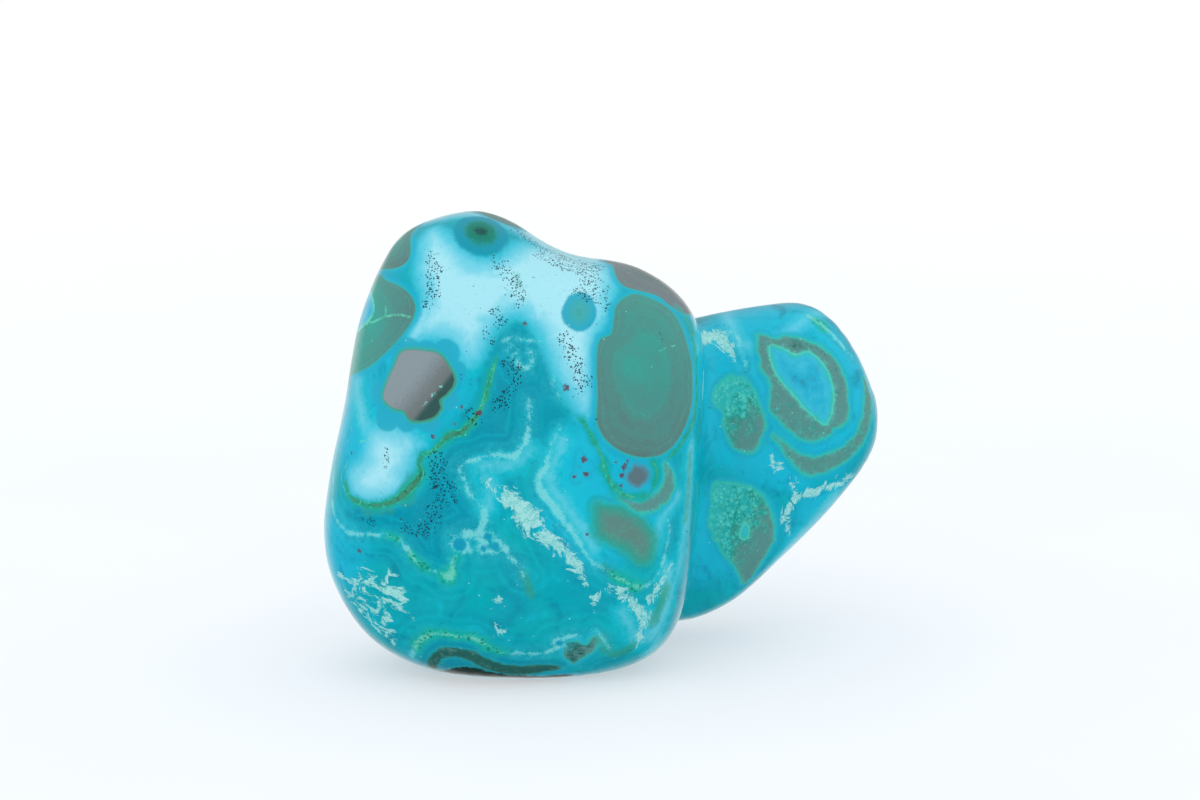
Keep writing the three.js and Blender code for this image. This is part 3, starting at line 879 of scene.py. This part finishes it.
class Shader:
    """The node tree of a material or world, with places in millimetres."""

    def __init__(self, owner):
        owner.use_nodes = True
        self.owner = owner
        self.tree = owner.node_tree
        self.colour = None  # what paint lays its colours on
        scale = self.new("ShaderNodeVectorMath")
        scale.operation = "SCALE"
        scale.inputs["Scale"].default_value = 1 / MM
        self.link(self.new("ShaderNodeTexCoord").outputs["Object"], scale.inputs[0])
        self.place = scale.outputs[0]

    def new(self, kind):
        return self.tree.nodes.new(kind)

    def link(self, source, target):
        self.tree.links.new(source, target)

    def feed(self, socket, value):
        """Links a value or socket to a socket, or sets a constant there."""
        if isinstance(value, Value):
            self.link(value.socket, socket)
        elif hasattr(value, "is_output"):
            self.link(value, socket)
        else:
            socket.default_value = value

    def field(self, name):
        """One of the distances kept on the mesh's points."""
        node = self.new("ShaderNodeAttribute")
        node.attribute_name = name
        return Value(self, node.outputs["Fac"])

    def noise(self, size, detail=2.0, roughness=0.5, twist=0.0, shift=0.0, place=None):
        """Noise from about -1 to 1 whose lumps are about this many millimetres across."""
        node = self.new("ShaderNodeTexNoise")
        self.feed(node.inputs["Vector"], self.shifted(place or self.place, shift))
        self.feed(node.inputs["Scale"], 1 / size)
        self.feed(node.inputs["Detail"], detail)
        self.feed(node.inputs["Roughness"], roughness)
        self.feed(node.inputs["Distortion"], twist)
        return Value(self, node.outputs[0]).math("MULTIPLY_ADD", 2, -1)

    def bands(self, along, count, shift=0.0):
        """Uneven bands from -1 to 1 along a value."""
        node = self.new("ShaderNodeTexNoise")
        node.noise_dimensions = "1D"
        self.feed(node.inputs["W"], along * count + shift)
        self.feed(node.inputs["Scale"], 1.0)
        self.feed(node.inputs["Detail"], 0.0)
        return Value(self, node.outputs[0]).math("MULTIPLY_ADD", 2, -1)

    def cells(self, size, place=None):
        """The distance from the nearest of scattered dots, in dot spacings, and a random value each."""
        node = self.new("ShaderNodeTexVoronoi")
        self.feed(node.inputs["Vector"], place or self.place)
        self.feed(node.inputs["Scale"], 1 / size)
        random = self.new("ShaderNodeSeparateColor")
        self.link(node.outputs["Color"], random.inputs[0])
        return Value(self, node.outputs["Distance"]), Value(self, random.outputs[0])

    def warped(self, size, amount):
        """Places pushed about by noise, by up to about this many millimetres."""
        node = self.new("ShaderNodeTexNoise")
        self.feed(node.inputs["Vector"], self.place)
        self.feed(node.inputs["Scale"], 1 / size)
        shifted = self.new("ShaderNodeVectorMath")
        shifted.operation = "MULTIPLY_ADD"
        self.link(node.outputs["Color"], shifted.inputs[0])
        shifted.inputs[1].default_value = (2 * amount,) * 3
        self.link(self.place, shifted.inputs[2])
        return shifted.outputs[0]

    def shifted(self, place, shift):
        """The same places somewhere else in the noise, so that two noises don't look alike."""
        node = self.new("ShaderNodeVectorMath")
        node.operation = "ADD"
        self.link(place, node.inputs[0])
        node.inputs[1].default_value = (SHIFT_STEP * shift, -SHIFT_STEP * shift, SHIFT_STEP * shift)
        return node.outputs[0]

    def stretched(self, squeeze):
        """Places squeezed along the stone's axes, so that noise there comes out drawn out."""
        node = self.new("ShaderNodeVectorMath")
        node.operation = "MULTIPLY"
        self.link(self.place, node.inputs[0])
        node.inputs[1].default_value = squeeze
        return node.outputs[0]

    def mix(self, below, above, share):
        node = self.new("ShaderNodeMix")
        node.data_type = "RGBA"
        self.feed(node.inputs["Factor"], share)
        self.feed(node.inputs[MIX_COLOUR_A], below)
        self.feed(node.inputs[MIX_COLOUR_A + 1], above)
        return node.outputs[MIX_COLOUR_RESULT]

    def paint(self, above, share):
        """Lays a colour over what is painted so far."""
        self.colour = self.mix(self.colour, above, share)

    def blend(self, below, above, share):
        """As mix, for plain values."""
        node = self.new("ShaderNodeMix")
        self.feed(node.inputs["Factor"], share)
        self.feed(node.inputs[MIX_VALUE_A], below)
        self.feed(node.inputs[MIX_VALUE_A + 1], above)
        return Value(self, node.outputs[0])


# ---- the stone's material, one function a layer ----

SKY_PALE = srgb(164, 224, 236)
SKY = srgb(110, 204, 223)
SKY_BLUE = srgb(66, 194, 218)
CYAN = srgb(20, 180, 208)
TEAL = srgb(0, 161, 178)
DEEP = srgb(0, 144, 168)
DARK_TEAL = srgb(0, 134, 158)
SEA_GREEN = srgb(0, 170, 176)
LIGHT_TEAL = srgb(8, 190, 208)
DARK_GREEN = srgb(32, 96, 88)
HALO = srgb(22, 172, 202)
MALACHITE = srgb(54, 158, 146)
LEAF_GREEN = srgb(6, 122, 100)
BRIGHT_GREEN = srgb(72, 204, 172)
GREY_GREEN = srgb(82, 134, 130)
STONE_GREY = srgb(112, 124, 130)
NEAR_BLACK = srgb(14, 44, 42)
LACE_WHITE = srgb(132, 216, 216)
CHALK_WHITE = srgb(164, 222, 218)
CHALK_TEAL = srgb(56, 182, 184)
RUST_RED = srgb(92, 60, 78)
SPECK_BLACK = srgb(12, 48, 62)
SPECK_ROUGHNESS = 0.45
CHALK_ROUGHNESS = 0.72
STONE_IOR = 1.55
STONE_SPECULAR = 0.3

# The stone's shader, and short names for what its layers are written with.
rock = Shader(bpy.data.materials.new("chrysocolla_stone"))
field = rock.field
noise = rock.noise
bands = rock.bands
cells = rock.cells
warped = rock.warped
stretched = rock.stretched
mix = rock.mix
paint = rock.paint


def ground(rims):
    """Chrysocolla: teal and cyan clouds, contours, deep tongues and pale sky-blue areas."""
    clouds = noise(8, 3, 0.5, 0.6)
    drifts = noise(3.4, 5, 0.6, 0.8, shift=2)
    wisps = noise(1.6, 5, 0.65, 1.4, shift=3)
    mottle = noise(0.45, 4, 0.75, shift=5)
    blue = (field("blue") + clouds * 2.5 + wisps * 0.8).step(2.2, -2.2)
    rock.colour = mix(TEAL, CYAN, blue)
    greener = noise(6, 2, 0.5, 0.4, shift=9) - blue * 0.6
    paint(SEA_GREEN, greener.step(-0.2, 0.4) * 0.7)
    paint(DARK_TEAL, (drifts + mottle * 0.15).step(0.0, 0.5) * 0.75)
    paint(LIGHT_TEAL, (drifts + wisps * 0.3).step(-0.05, -0.6) * 0.75)
    deep = field("deep") + wisps * 0.5
    inner = mix(DEEP, DARK_TEAL, (wisps + mottle * 0.5).step(-0.1, 0.5) * 0.8)
    paint(inner, deep.step(0.5, -0.7) * 0.8)
    nearby = rims.lower(field("lace")).lower(field("smudge"))
    contour = bands(nearby + wisps * 0.5 + drifts * 0.5, 1.3, shift=60)
    fade = nearby.step(4, 0.8)
    paint(LIGHT_TEAL, contour.step(0.05, 0.5) * fade * 0.6)
    paint(DARK_TEAL, contour.step(-0.05, -0.5) * fade * 0.4)
    # Milky strips; the one along the right edge of the broad face is partly a painted highlight.
    milky_and_sheen = field("milky_and_sheen") + drifts * 0.7 + wisps * 0.9
    paint(LIGHT_TEAL, milky_and_sheen.step(1.6, 0.4) * 0.6)
    paint(srgb(104, 204, 220), (milky_and_sheen + mottle * 0.4).step(0.7, -0.9) * 0.75)
    pale = field("pale") + wisps * 0.6 + clouds * 0.5
    paint(SKY_BLUE, pale.step(1.5, 0.2) * 0.8)
    paint(SKY, pale.step(0.6, -0.8))
    paint(SKY_PALE, (pale + drifts * 1.6).step(-0.3, -2.4) * 0.95)
    paint(DEEP, mottle.step(0.1, 0.6) * 0.35)
    paint(LIGHT_TEAL, mottle.step(-0.1, -0.6) * pale.step(-0.5, 1) * 0.4)


def halos(rims):
    """Deeper blue that soaks out of the malachite, and the teal lobes round the dark patch."""
    edge = noise(1.2, 2, shift=12)
    near = (rims + edge * 0.25).step(0.95, 0.25)
    paint(mix(HALO, DEEP, field("deep").step(0.5, -0.3)), near * 0.8)
    lobes = (field("halo") + edge * 0.15).step(0.25, -0.15)
    paint(srgb(34, 166, 192), lobes * 0.9)


def spots(fibres):
    """Oval blue-green spots, some with a dark green core."""
    across = field("spot") + noise(1, 4, 0.6, shift=15) * 0.12
    core = field("spot_core")
    ring = mix(srgb(20, 164, 190), srgb(4, 144, 168), core)
    disc = mix(ring, srgb(56, 172, 168), across.step(0.8, 0.2) * 0.8)
    disc = mix(disc, LEAF_GREEN, (across + fibres * 0.15).step(0.75, 0.4) * core)
    disc = mix(disc, NEAR_BLACK, (across + fibres * 0.3).step(0.32, 0.1) * core * 0.8)
    disc = mix(disc, SKY, fibres.step(0.0, 0.8) * 0.18)
    paint(disc, across.step(1.06, 0.88) * 0.94)


def pools(pool):
    """Blue water-like chrysocolla in the holes of the malachite."""
    blots = noise(1.5, 3, 0.6, shift=19)
    water = mix(srgb(36, 176, 206), srgb(34, 142, 170), blots.step(0.05, 0.5) * 0.8)
    shallow = (pool + blots * 0.5).step(-1.2, 0.0)
    water = mix(water, srgb(80, 198, 218), blots.step(0.1, -0.5).higher(shallow) * 0.55)
    paint(water, pool.step(0.08, -0.08))


def eyes(fibres):
    """Polished malachite: faint rings, greyer at the rim, in a thin green line."""
    rim = field("eye") + noise(1.1, 2, 0.5, shift=11) * 0.06
    depth = field("eye_depth") + noise(1.8, 3, shift=21) * 0.09
    fine = bands(depth, 16)
    broad = bands(depth, 7, shift=40)
    grain = noise(0.3, 4, 0.75, shift=23)
    mottle = noise(2.2, 4, 0.6, 0.5, shift=22)
    rings = broad * 0.24 + fine * depth.step(1, 0.5) * 0.16
    grey = field("eye_brown") - depth + rings + mottle * 0.35 + grain * 0.4
    inside = mix(MALACHITE, GREY_GREEN, grey.step(-0.55, 0.95))
    inside = mix(inside, srgb(92, 104, 104), grey.step(0.6, 1.3) * 0.6)
    inside = mix(inside, STONE_GREY, grey.step(1.4, 2.2) * 0.9)
    inside = mix(inside, BRIGHT_GREEN, (fine - grain * 0.8).step(0.1, 1.1) * depth.step(1, 0.6) * 0.22)
    inside = mix(inside, SKY, fibres.step(0.2, 0.9) * 0.16)
    paint(srgb(46, 172, 166), rim.step(0.22, 0.02) * 0.85)
    paint(inside, (rim + grain * 0.05).step(0.0, -0.16))


def bubbles(size, shift):
    """Close-packed round dots of uneven size: 1 in the middle of a dot, 0 between dots."""
    dots, random = cells(size, place=warped(0.5, 0.14))
    return (dots - random * 0.3).step(0.5, 0.0) * noise(0.9, 3, 0.6, shift=shift).step(-0.3, 0.25)


def mosses():
    """Bubbly malachite: bright dots along its edges and pools, greyer towards one side."""
    ragged = noise(1.1, 5, 0.72, shift=31)
    grain = noise(0.25, 4, 0.75, shift=34)
    rim = field("moss") + ragged * 0.7 + grain * 0.1
    pool = field("moss_pool") + ragged * 0.35
    small = bubbles(0.34, 33)
    large = bubbles(0.62, 38)
    grey = field("moss_brown") + ragged * 0.8 + grain * 0.5
    inside = mix(srgb(20, 146, 130), srgb(86, 142, 138), grey.step(0.0, 0.7))
    inside = mix(inside, DARK_GREEN, grey.step(0.95, 1.4) * 0.95)
    # near-black where the brown runs highest; on the band low on the foot this is partly painted shade
    inside = mix(inside, NEAR_BLACK, grey.step(1.7, 2.6) * 0.9)
    milk = (grey + ragged * 0.6 + grain * 0.4).step(0.3, -0.4)
    inside = mix(inside, srgb(48, 190, 192), milk * 0.7)
    bright = pool.step(0.9, 0.0).higher(rim.step(-0.7, -0.2) * 0.4).higher(grey.step(0.8, 0.0))
    bright = bright * grey.step(1.6, 0.9)
    inside = mix(inside, srgb(90, 210, 196), small.higher(large * 0.8) * bright * 0.85)
    pools(pool)
    fringe = field("moss_brown").step(1.4, 1.0, 0.3, 1.0)
    paint(srgb(36, 182, 184), (rim + grain * 0.2).step(0.7, 0.0) * fringe * 0.75)
    paint(srgb(60, 192, 158), (rim + grain * 0.2).step(0.25, -0.05) * fringe * 0.6)
    paint(inside, (rim + grain * 0.15).step(0.1, -0.35))
    pool_line = (pool - 0.05 + grain * 0.1).size().step(0.2, 0.0)
    paint(srgb(84, 208, 184), pool_line * 0.7)


def dark_patch():
    """Two worn faces in a thin green rim: the face in front of the ridge painted light grey as a painted
    sheen, the one behind the ridge darker in the patch's own colour.
    """
    rim = field("patch") + noise(0.7, 3, 0.6, shift=26) * 0.1
    grain = noise(0.2, 3, 0.7, shift=27)
    behind = field("patch_side") + grain * 0.3
    # Painted sheen: the face in front of the ridge is painted light grey, greyer towards the ridge; behind
    # the ridge the patch's own dark colour.
    inside = mix(srgb(134, 148, 154), srgb(108, 118, 120), (behind + grain).step(-3, -0.2))
    inside = mix(inside, srgb(44, 84, 80), behind.step(-0.2, 0.5) * 0.92)
    paint(srgb(56, 170, 150), rim.step(0.42, 0.1) * 0.8)
    paint(srgb(48, 152, 116), rim.step(0.2, 0.04) * behind.step(-4, 0) * 0.8)
    paint(srgb(84, 140, 128), rim.step(0.08, -0.1) * 0.8)
    paint(inside, rim.step(0.0, -0.22))
    broken = noise(0.5, 3, 0.7, shift=28).step(-0.1, 0.2)
    paint(srgb(130, 216, 212), field("scratch").step(0.2, 0.08) * broken)


def smudges():
    """Blurred green-brown patches with flecks, and the brown blotches."""
    edge = noise(1.6, 5, 0.7, shift=35)
    grain = noise(0.3, 4, 0.8, shift=36)
    inside = field("smudge") + edge * 0.9 + grain * 0.5
    paint(srgb(36, 170, 164), inside.step(0.9, -0.1) * 0.75)
    paint(srgb(50, 152, 134), inside.step(0.3, -0.5) * 0.85)
    paint(srgb(94, 132, 126), inside.step(-0.2, -1.8) * 0.95)
    flecks = (grain - edge * 0.7).step(0.0, 0.5) * inside.step(0.2, -0.4)
    paint(srgb(62, 180, 156), flecks * 0.5)
    blotch = field("blotch") + edge * 0.7 + grain * 0.4
    paint(HALO, blotch.step(0.9, 0.1) * 0.6)
    paint(srgb(92, 110, 116), blotch.step(0.1, -0.9) * 0.95)


def veins():
    """Green-brown veins that wander in width, and the thin light-green threads."""
    rough = noise(0.7, 5, 0.75, shift=37)
    wide = noise(2.2, 4, 0.65, shift=39)
    vein = field("vein") + rough * 0.34
    paint(HALO, vein.step(0.9, 0.1) * 0.3)
    paint(srgb(14, 164, 150), (vein + wide * 1.3).step(0.7, -0.1) * 0.75)
    paint(srgb(24, 156, 122), vein.step(0.26, 0.04) * 0.8)
    edge_line = (vein - 0.08).size().step(0.1, 0.0) * rough.step(-0.2, 0.4)
    paint(srgb(90, 206, 160), edge_line * 0.7)
    core = mix(srgb(64, 142, 116), srgb(46, 98, 74), (rough + wide * 0.5).step(-0.2, 0.3))
    paint(core, (vein + wide * 0.12).step(0.02, -0.12) * 0.92)
    thread = field("thread") + rough * 0.08
    paint(srgb(104, 214, 180), thread.step(0.1, -0.06) * 0.75)


def lace():
    """Frothy white lines with a hazy side, greener here and there."""
    ragged = noise(1.2, 6, 0.8, shift=42)
    spread = noise(2.4, 2, shift=44)
    froth = noise(0.2, 3, 0.8, shift=43)
    edge = field("lace") + ragged * 0.8 + spread * 0.25
    dots, random = cells(0.22, place=warped(0.6, 0.15))
    tint = (field("green") + ragged * 0.9).step(0.6, -0.6)
    haze = edge.step(1.4, -0.1) * (ragged + froth * 0.4).step(0.5, -0.4)
    paint(srgb(50, 196, 208), haze * 0.55)
    paint(srgb(20, 176, 150), (edge + ragged * 0.5).step(1, 0.0) * tint * 0.8)
    line = mix(LACE_WHITE, srgb(116, 214, 190), tint * 0.8)
    solid = (edge + froth * 0.45).step(0.14, -0.18)
    paint(line, solid * (froth * 0.6 + 0.62))
    loose = (random - edge).step(0.5, 0.8) * dots.step(0.5, 0.15) * edge.step(0.7, 0.1)
    paint(line, loose * 0.6)
    pits = dots.step(0.35, 0.1) * edge.step(0.3, -0.1) * (random + tint * 0.25).step(0.45, 0.65)
    paint(mix(CYAN, LEAF_GREEN, tint), pits * 0.7)
    beads, _ = cells(0.62, place=warped(0.6, 0.2))
    beaded = beads.step(0.4, 0.22) * (edge + ragged * 0.3).step(0.6, 0.15) * tint
    paint(LEAF_GREEN, beaded * 0.75)
    eye = (field("lace_eye") + ragged * 0.3 + froth * 0.1).step(0.05, -0.2)
    paint(srgb(10, 148, 180), eye * 0.85)


def streaks():
    soft = field("olive") + noise(0.9, 4, 0.65, shift=45) * 0.7
    paint(srgb(52, 150, 116), soft.step(0.5, -0.5) * 0.65)


def rust():
    blot = field("rust") + noise(0.3, 3, 0.7, shift=47) * 0.34
    paint(RUST_RED, blot.step(0.12, -0.1) * 0.9)


def specks():
    """Black specks, thick in their clusters and a few everywhere else, and tiny white ones."""
    crowd = (field("specks") + noise(1.5, 3, shift=50) * 0.8).step(0.1, 0.7)
    dots, random = cells(0.24, place=warped(0.25, 0.1))
    size = (random + crowd - 0.68).step(0.0, 0.8, 0.0, 0.42)
    fine = (dots - size).step(0.02, -0.06) * size.step(0.02, 0.08)
    blobs, chance = cells(1.1, place=warped(0.3, 0.22))
    wide = (chance + crowd * 0.28).step(0.9, 1.25, 0.0, 0.24)
    coarse = (blobs - wide).step(0.02, -0.05) * wide.step(0.02, 0.06)
    mask = fine.higher(coarse)
    paint(SPECK_BLACK, mask * 0.9)
    light, luck = cells(1.3)
    white = light.step(0.07, 0.04) * luck.step(0.55, 0.6)
    paint(SKY_PALE, white * 0.7)
    return mask


def chalk_cover():
    """Where ragged lines and loose flakes of chalk cover the stone."""
    ragged = noise(1.9, 6, 0.68, 2.5, shift=55)
    line = (field("chalk") + ragged * 2 + 0.02).step(0.1, -0.14)
    scraps = noise(1.7, 6, 0.7, 1.6, shift=58, place=stretched((0.8, 0.8, 1.2)))
    inside = field("flakes").step(0.3, -1.0)
    flake = (scraps + inside * 0.5).step(0.5, 0.6) * inside
    return line.higher(flake)


def chalk(cover, grit):
    """Pale chalk with curls and grit of the teal under it."""
    curls = noise(0.9, 3, 0.6, 1.2, shift=59).size().step(0.09, 0.0)
    chalky = mix(CHALK_WHITE, CHALK_TEAL, curls.higher(grit.step(0.0, 0.4)) * 0.75)
    paint(chalky, cover * 0.9)


def paint_stone(fibres):
    """Lays every layer but the chalk in turn, the lowest first, and says where the specks are."""
    rims = field("eye").lower(field("patch")).lower(field("moss"))
    ground(rims)
    halos(rims)
    smudges()
    spots(fibres)
    mosses()
    streaks()
    pools(field("eye_pool"))
    eyes(fibres)
    dark_patch()
    veins()
    lace()
    rust()
    return specks()


def polish(fine, dots, cover):
    """How rough each place is: a tumbled polish, with duller specks and chalk."""
    smear = noise(3, 4, 0.6, shift=60)
    rough = noise(5, 2, shift=62).step(-0.6, 0.6, 0.13, 0.22) + smear * 0.025 + fine * 0.02
    rough = rock.blend(rough, SPECK_ROUGHNESS, dots * 0.6)
    return rock.blend(rough, CHALK_ROUGHNESS, cover)


def stone_material():
    fibres = noise(0.1, 2, 0.6, shift=24, place=stretched((1, 1, 0.04)))
    fine = noise(0.12, 3, 0.6, shift=61)
    grit = noise(0.5, 4, 0.65, 1, shift=57)
    dots = paint_stone(fibres)
    cover = chalk_cover()
    chalk(cover, grit)
    height = noise(2.6, 3, 0.5, shift=64) * 0.02 + fine * 0.0012 + fibres * 0.0008
    height = height + dots * -0.03 + cover * grit * 0.03
    bump = rock.new("ShaderNodeBump")
    rock.feed(bump.inputs["Height"], height)
    bump.inputs["Distance"].default_value = MM
    bump.inputs["Strength"].default_value = 1.0
    sockets = rock.tree.nodes["Principled BSDF"].inputs
    rock.feed(sockets["Base Color"], rock.colour)
    rock.feed(sockets["Roughness"], polish(fine, dots, cover))
    rock.link(bump.outputs[0], sockets["Normal"])
    sockets["IOR"].default_value = STONE_IOR
    sockets["Specular IOR Level"].default_value = STONE_SPECULAR
    return rock.owner


stone.data.materials.append(stone_material())
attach(stone, "root")
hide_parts(NODE)

# ---- floor, light and camera, in metres where nothing else is said ----

FLOOR_SIZE = 6.0
# Painted light: the paper is painted darker and bluer near the stone and whiter further off, a painted
# gradient of light across the floor.
PAPER_LIGHT_FADE = (60, 450)  # mm from the stone, over which the paper grows whiter
PAPER_TONES = (srgb(174, 180, 187), srgb(178, 183, 188))
FAR_PAPER_PAINTED_LIGHT = srgb(188, 188, 188)
PAPER_ROUGHNESS = 0.9
FLOOR_GLOW = 0.5  # a lit table, so that shadows stay faint
FLOOR_GLOW_COLOUR = srgb(246, 248, 250)
SOFTBOX_DISTANCE = 0.9
# name, azimuth and elevation in degrees, width and height, and power in watts
SOFTBOXES = [
    ("overhead", 0, 70, (0.9, 0.9), 0.7),
    ("left", -50, 18, (0.5, 0.5), 0.5),
    ("right", 75, 20, (0.5, 0.7), 0.3),
]
WORLD_STRENGTH = 1.05
ROOM_MIRRORED = 0.38  # how bright the room in front is where the polished stone mirrors it
TABLE_MIRRORED = 0.9  # and the table behind
CAMERA_ELEVATION = 12.0  # degrees
CAMERA_DISTANCE = 0.367
CAMERA_LENS = 100.0  # mm
CAMERA_LEFT = 0.0007  # how far the camera aims to the left of the stone's middle, and above it
CAMERA_RISE = 0.0037
CAMERA_CLIP = 0.01


def add_floor():
    mesh = bpy.data.meshes.new("floor")
    half = FLOOR_SIZE / 2
    corners = [(-half, -half, 0), (half, -half, 0), (half, half, 0), (-half, half, 0)]
    mesh.from_pydata(corners, [], [(0, 1, 2, 3)])
    floor = bpy.data.objects.new("floor", mesh)
    bpy.context.scene.collection.objects.link(floor)
    shader = Shader(bpy.data.materials.new("floor_paper"))
    tone = shader.noise(60, 3, 0.5)
    reach = shader.new("ShaderNodeVectorMath")
    reach.operation = "LENGTH"
    shader.link(shader.place, reach.inputs[0])
    away = Value(shader, reach.outputs["Value"]).step(*PAPER_LIGHT_FADE)
    paper = shader.mix(*PAPER_TONES, tone.step(-0.5, 0.5))
    sockets = shader.tree.nodes["Principled BSDF"].inputs
    # painted light: the paper is painted whiter further from the stone
    shader.feed(sockets["Base Color"], shader.mix(paper, FAR_PAPER_PAINTED_LIGHT, away))
    sockets["Roughness"].default_value = PAPER_ROUGHNESS
    sockets["Emission Color"].default_value = FLOOR_GLOW_COLOUR
    sockets["Emission Strength"].default_value = FLOOR_GLOW
    sockets["Specular IOR Level"].default_value = 0.0
    mesh.materials.append(shader.owner)
    floor.visible_glossy = False


def add_softbox(name, azimuth, elevation, size, power):
    light = bpy.data.lights.new(name, "AREA")
    light.shape = "RECTANGLE"
    light.size, light.size_y = size
    light.energy = power
    softbox = bpy.data.objects.new(name, light)
    away = side_axes((azimuth, elevation))[2]
    middle = Vector((0, 0, (cad_box[0][2] + cad_box[1][2]) / 2))
    softbox.location = middle + Vector(away) * SOFTBOX_DISTANCE
    softbox.visible_glossy = False
    softbox.rotation_euler = Vector(away).to_track_quat("Z", "Y").to_euler()
    bpy.context.scene.collection.objects.link(softbox)


def add_world():
    """White all round. The polished faces mirror a dim room in front and a pale table behind."""
    shader = Shader(bpy.data.worlds.new("studio"))
    bpy.context.scene.world = shader.owner
    split = shader.new("ShaderNodeSeparateXYZ")
    shader.link(shader.new("ShaderNodeTexCoord").outputs["Generated"], split.inputs[0])
    back = Value(shader, split.outputs["Y"])
    rise = Value(shader, split.outputs["Z"])
    room = back.step(-0.5, 0.2, 0.0, ROOM_MIRRORED) * rise.step(-0.4, 0.25, 0.15, 1.0)
    table = back.step(0.3, 0.85, 0.0, TABLE_MIRRORED) * rise.step(0.15, -0.05)
    mirrored = shader.new("ShaderNodeLightPath").outputs["Is Glossy Ray"]
    sockets = shader.tree.nodes["Background"].inputs
    sockets["Color"].default_value = (1, 1, 1, 1)
    shader.feed(sockets["Strength"], shader.blend(WORLD_STRENGTH, room.higher(table), mirrored))


def add_camera():
    data = bpy.data.cameras.new("camera")
    data.lens = CAMERA_LENS
    data.clip_start = CAMERA_CLIP
    camera = bpy.data.objects.new("camera", data)
    bpy.context.scene.collection.objects.link(camera)
    away = Vector(side_axes((0, CAMERA_ELEVATION))[2])
    low, high = cad_box
    target = Vector((-CAMERA_LEFT, 0, (low[2] + high[2]) / 2 + CAMERA_RISE))
    camera.location = target + away * CAMERA_DISTANCE
    camera.rotation_euler = away.to_track_quat("Z", "Y").to_euler()
    bpy.context.scene.camera = camera


add_floor()
for softbox in SOFTBOXES:
    add_softbox(*softbox)
add_world()
add_camera()
bpy.context.scene.view_settings.view_transform = "Standard"
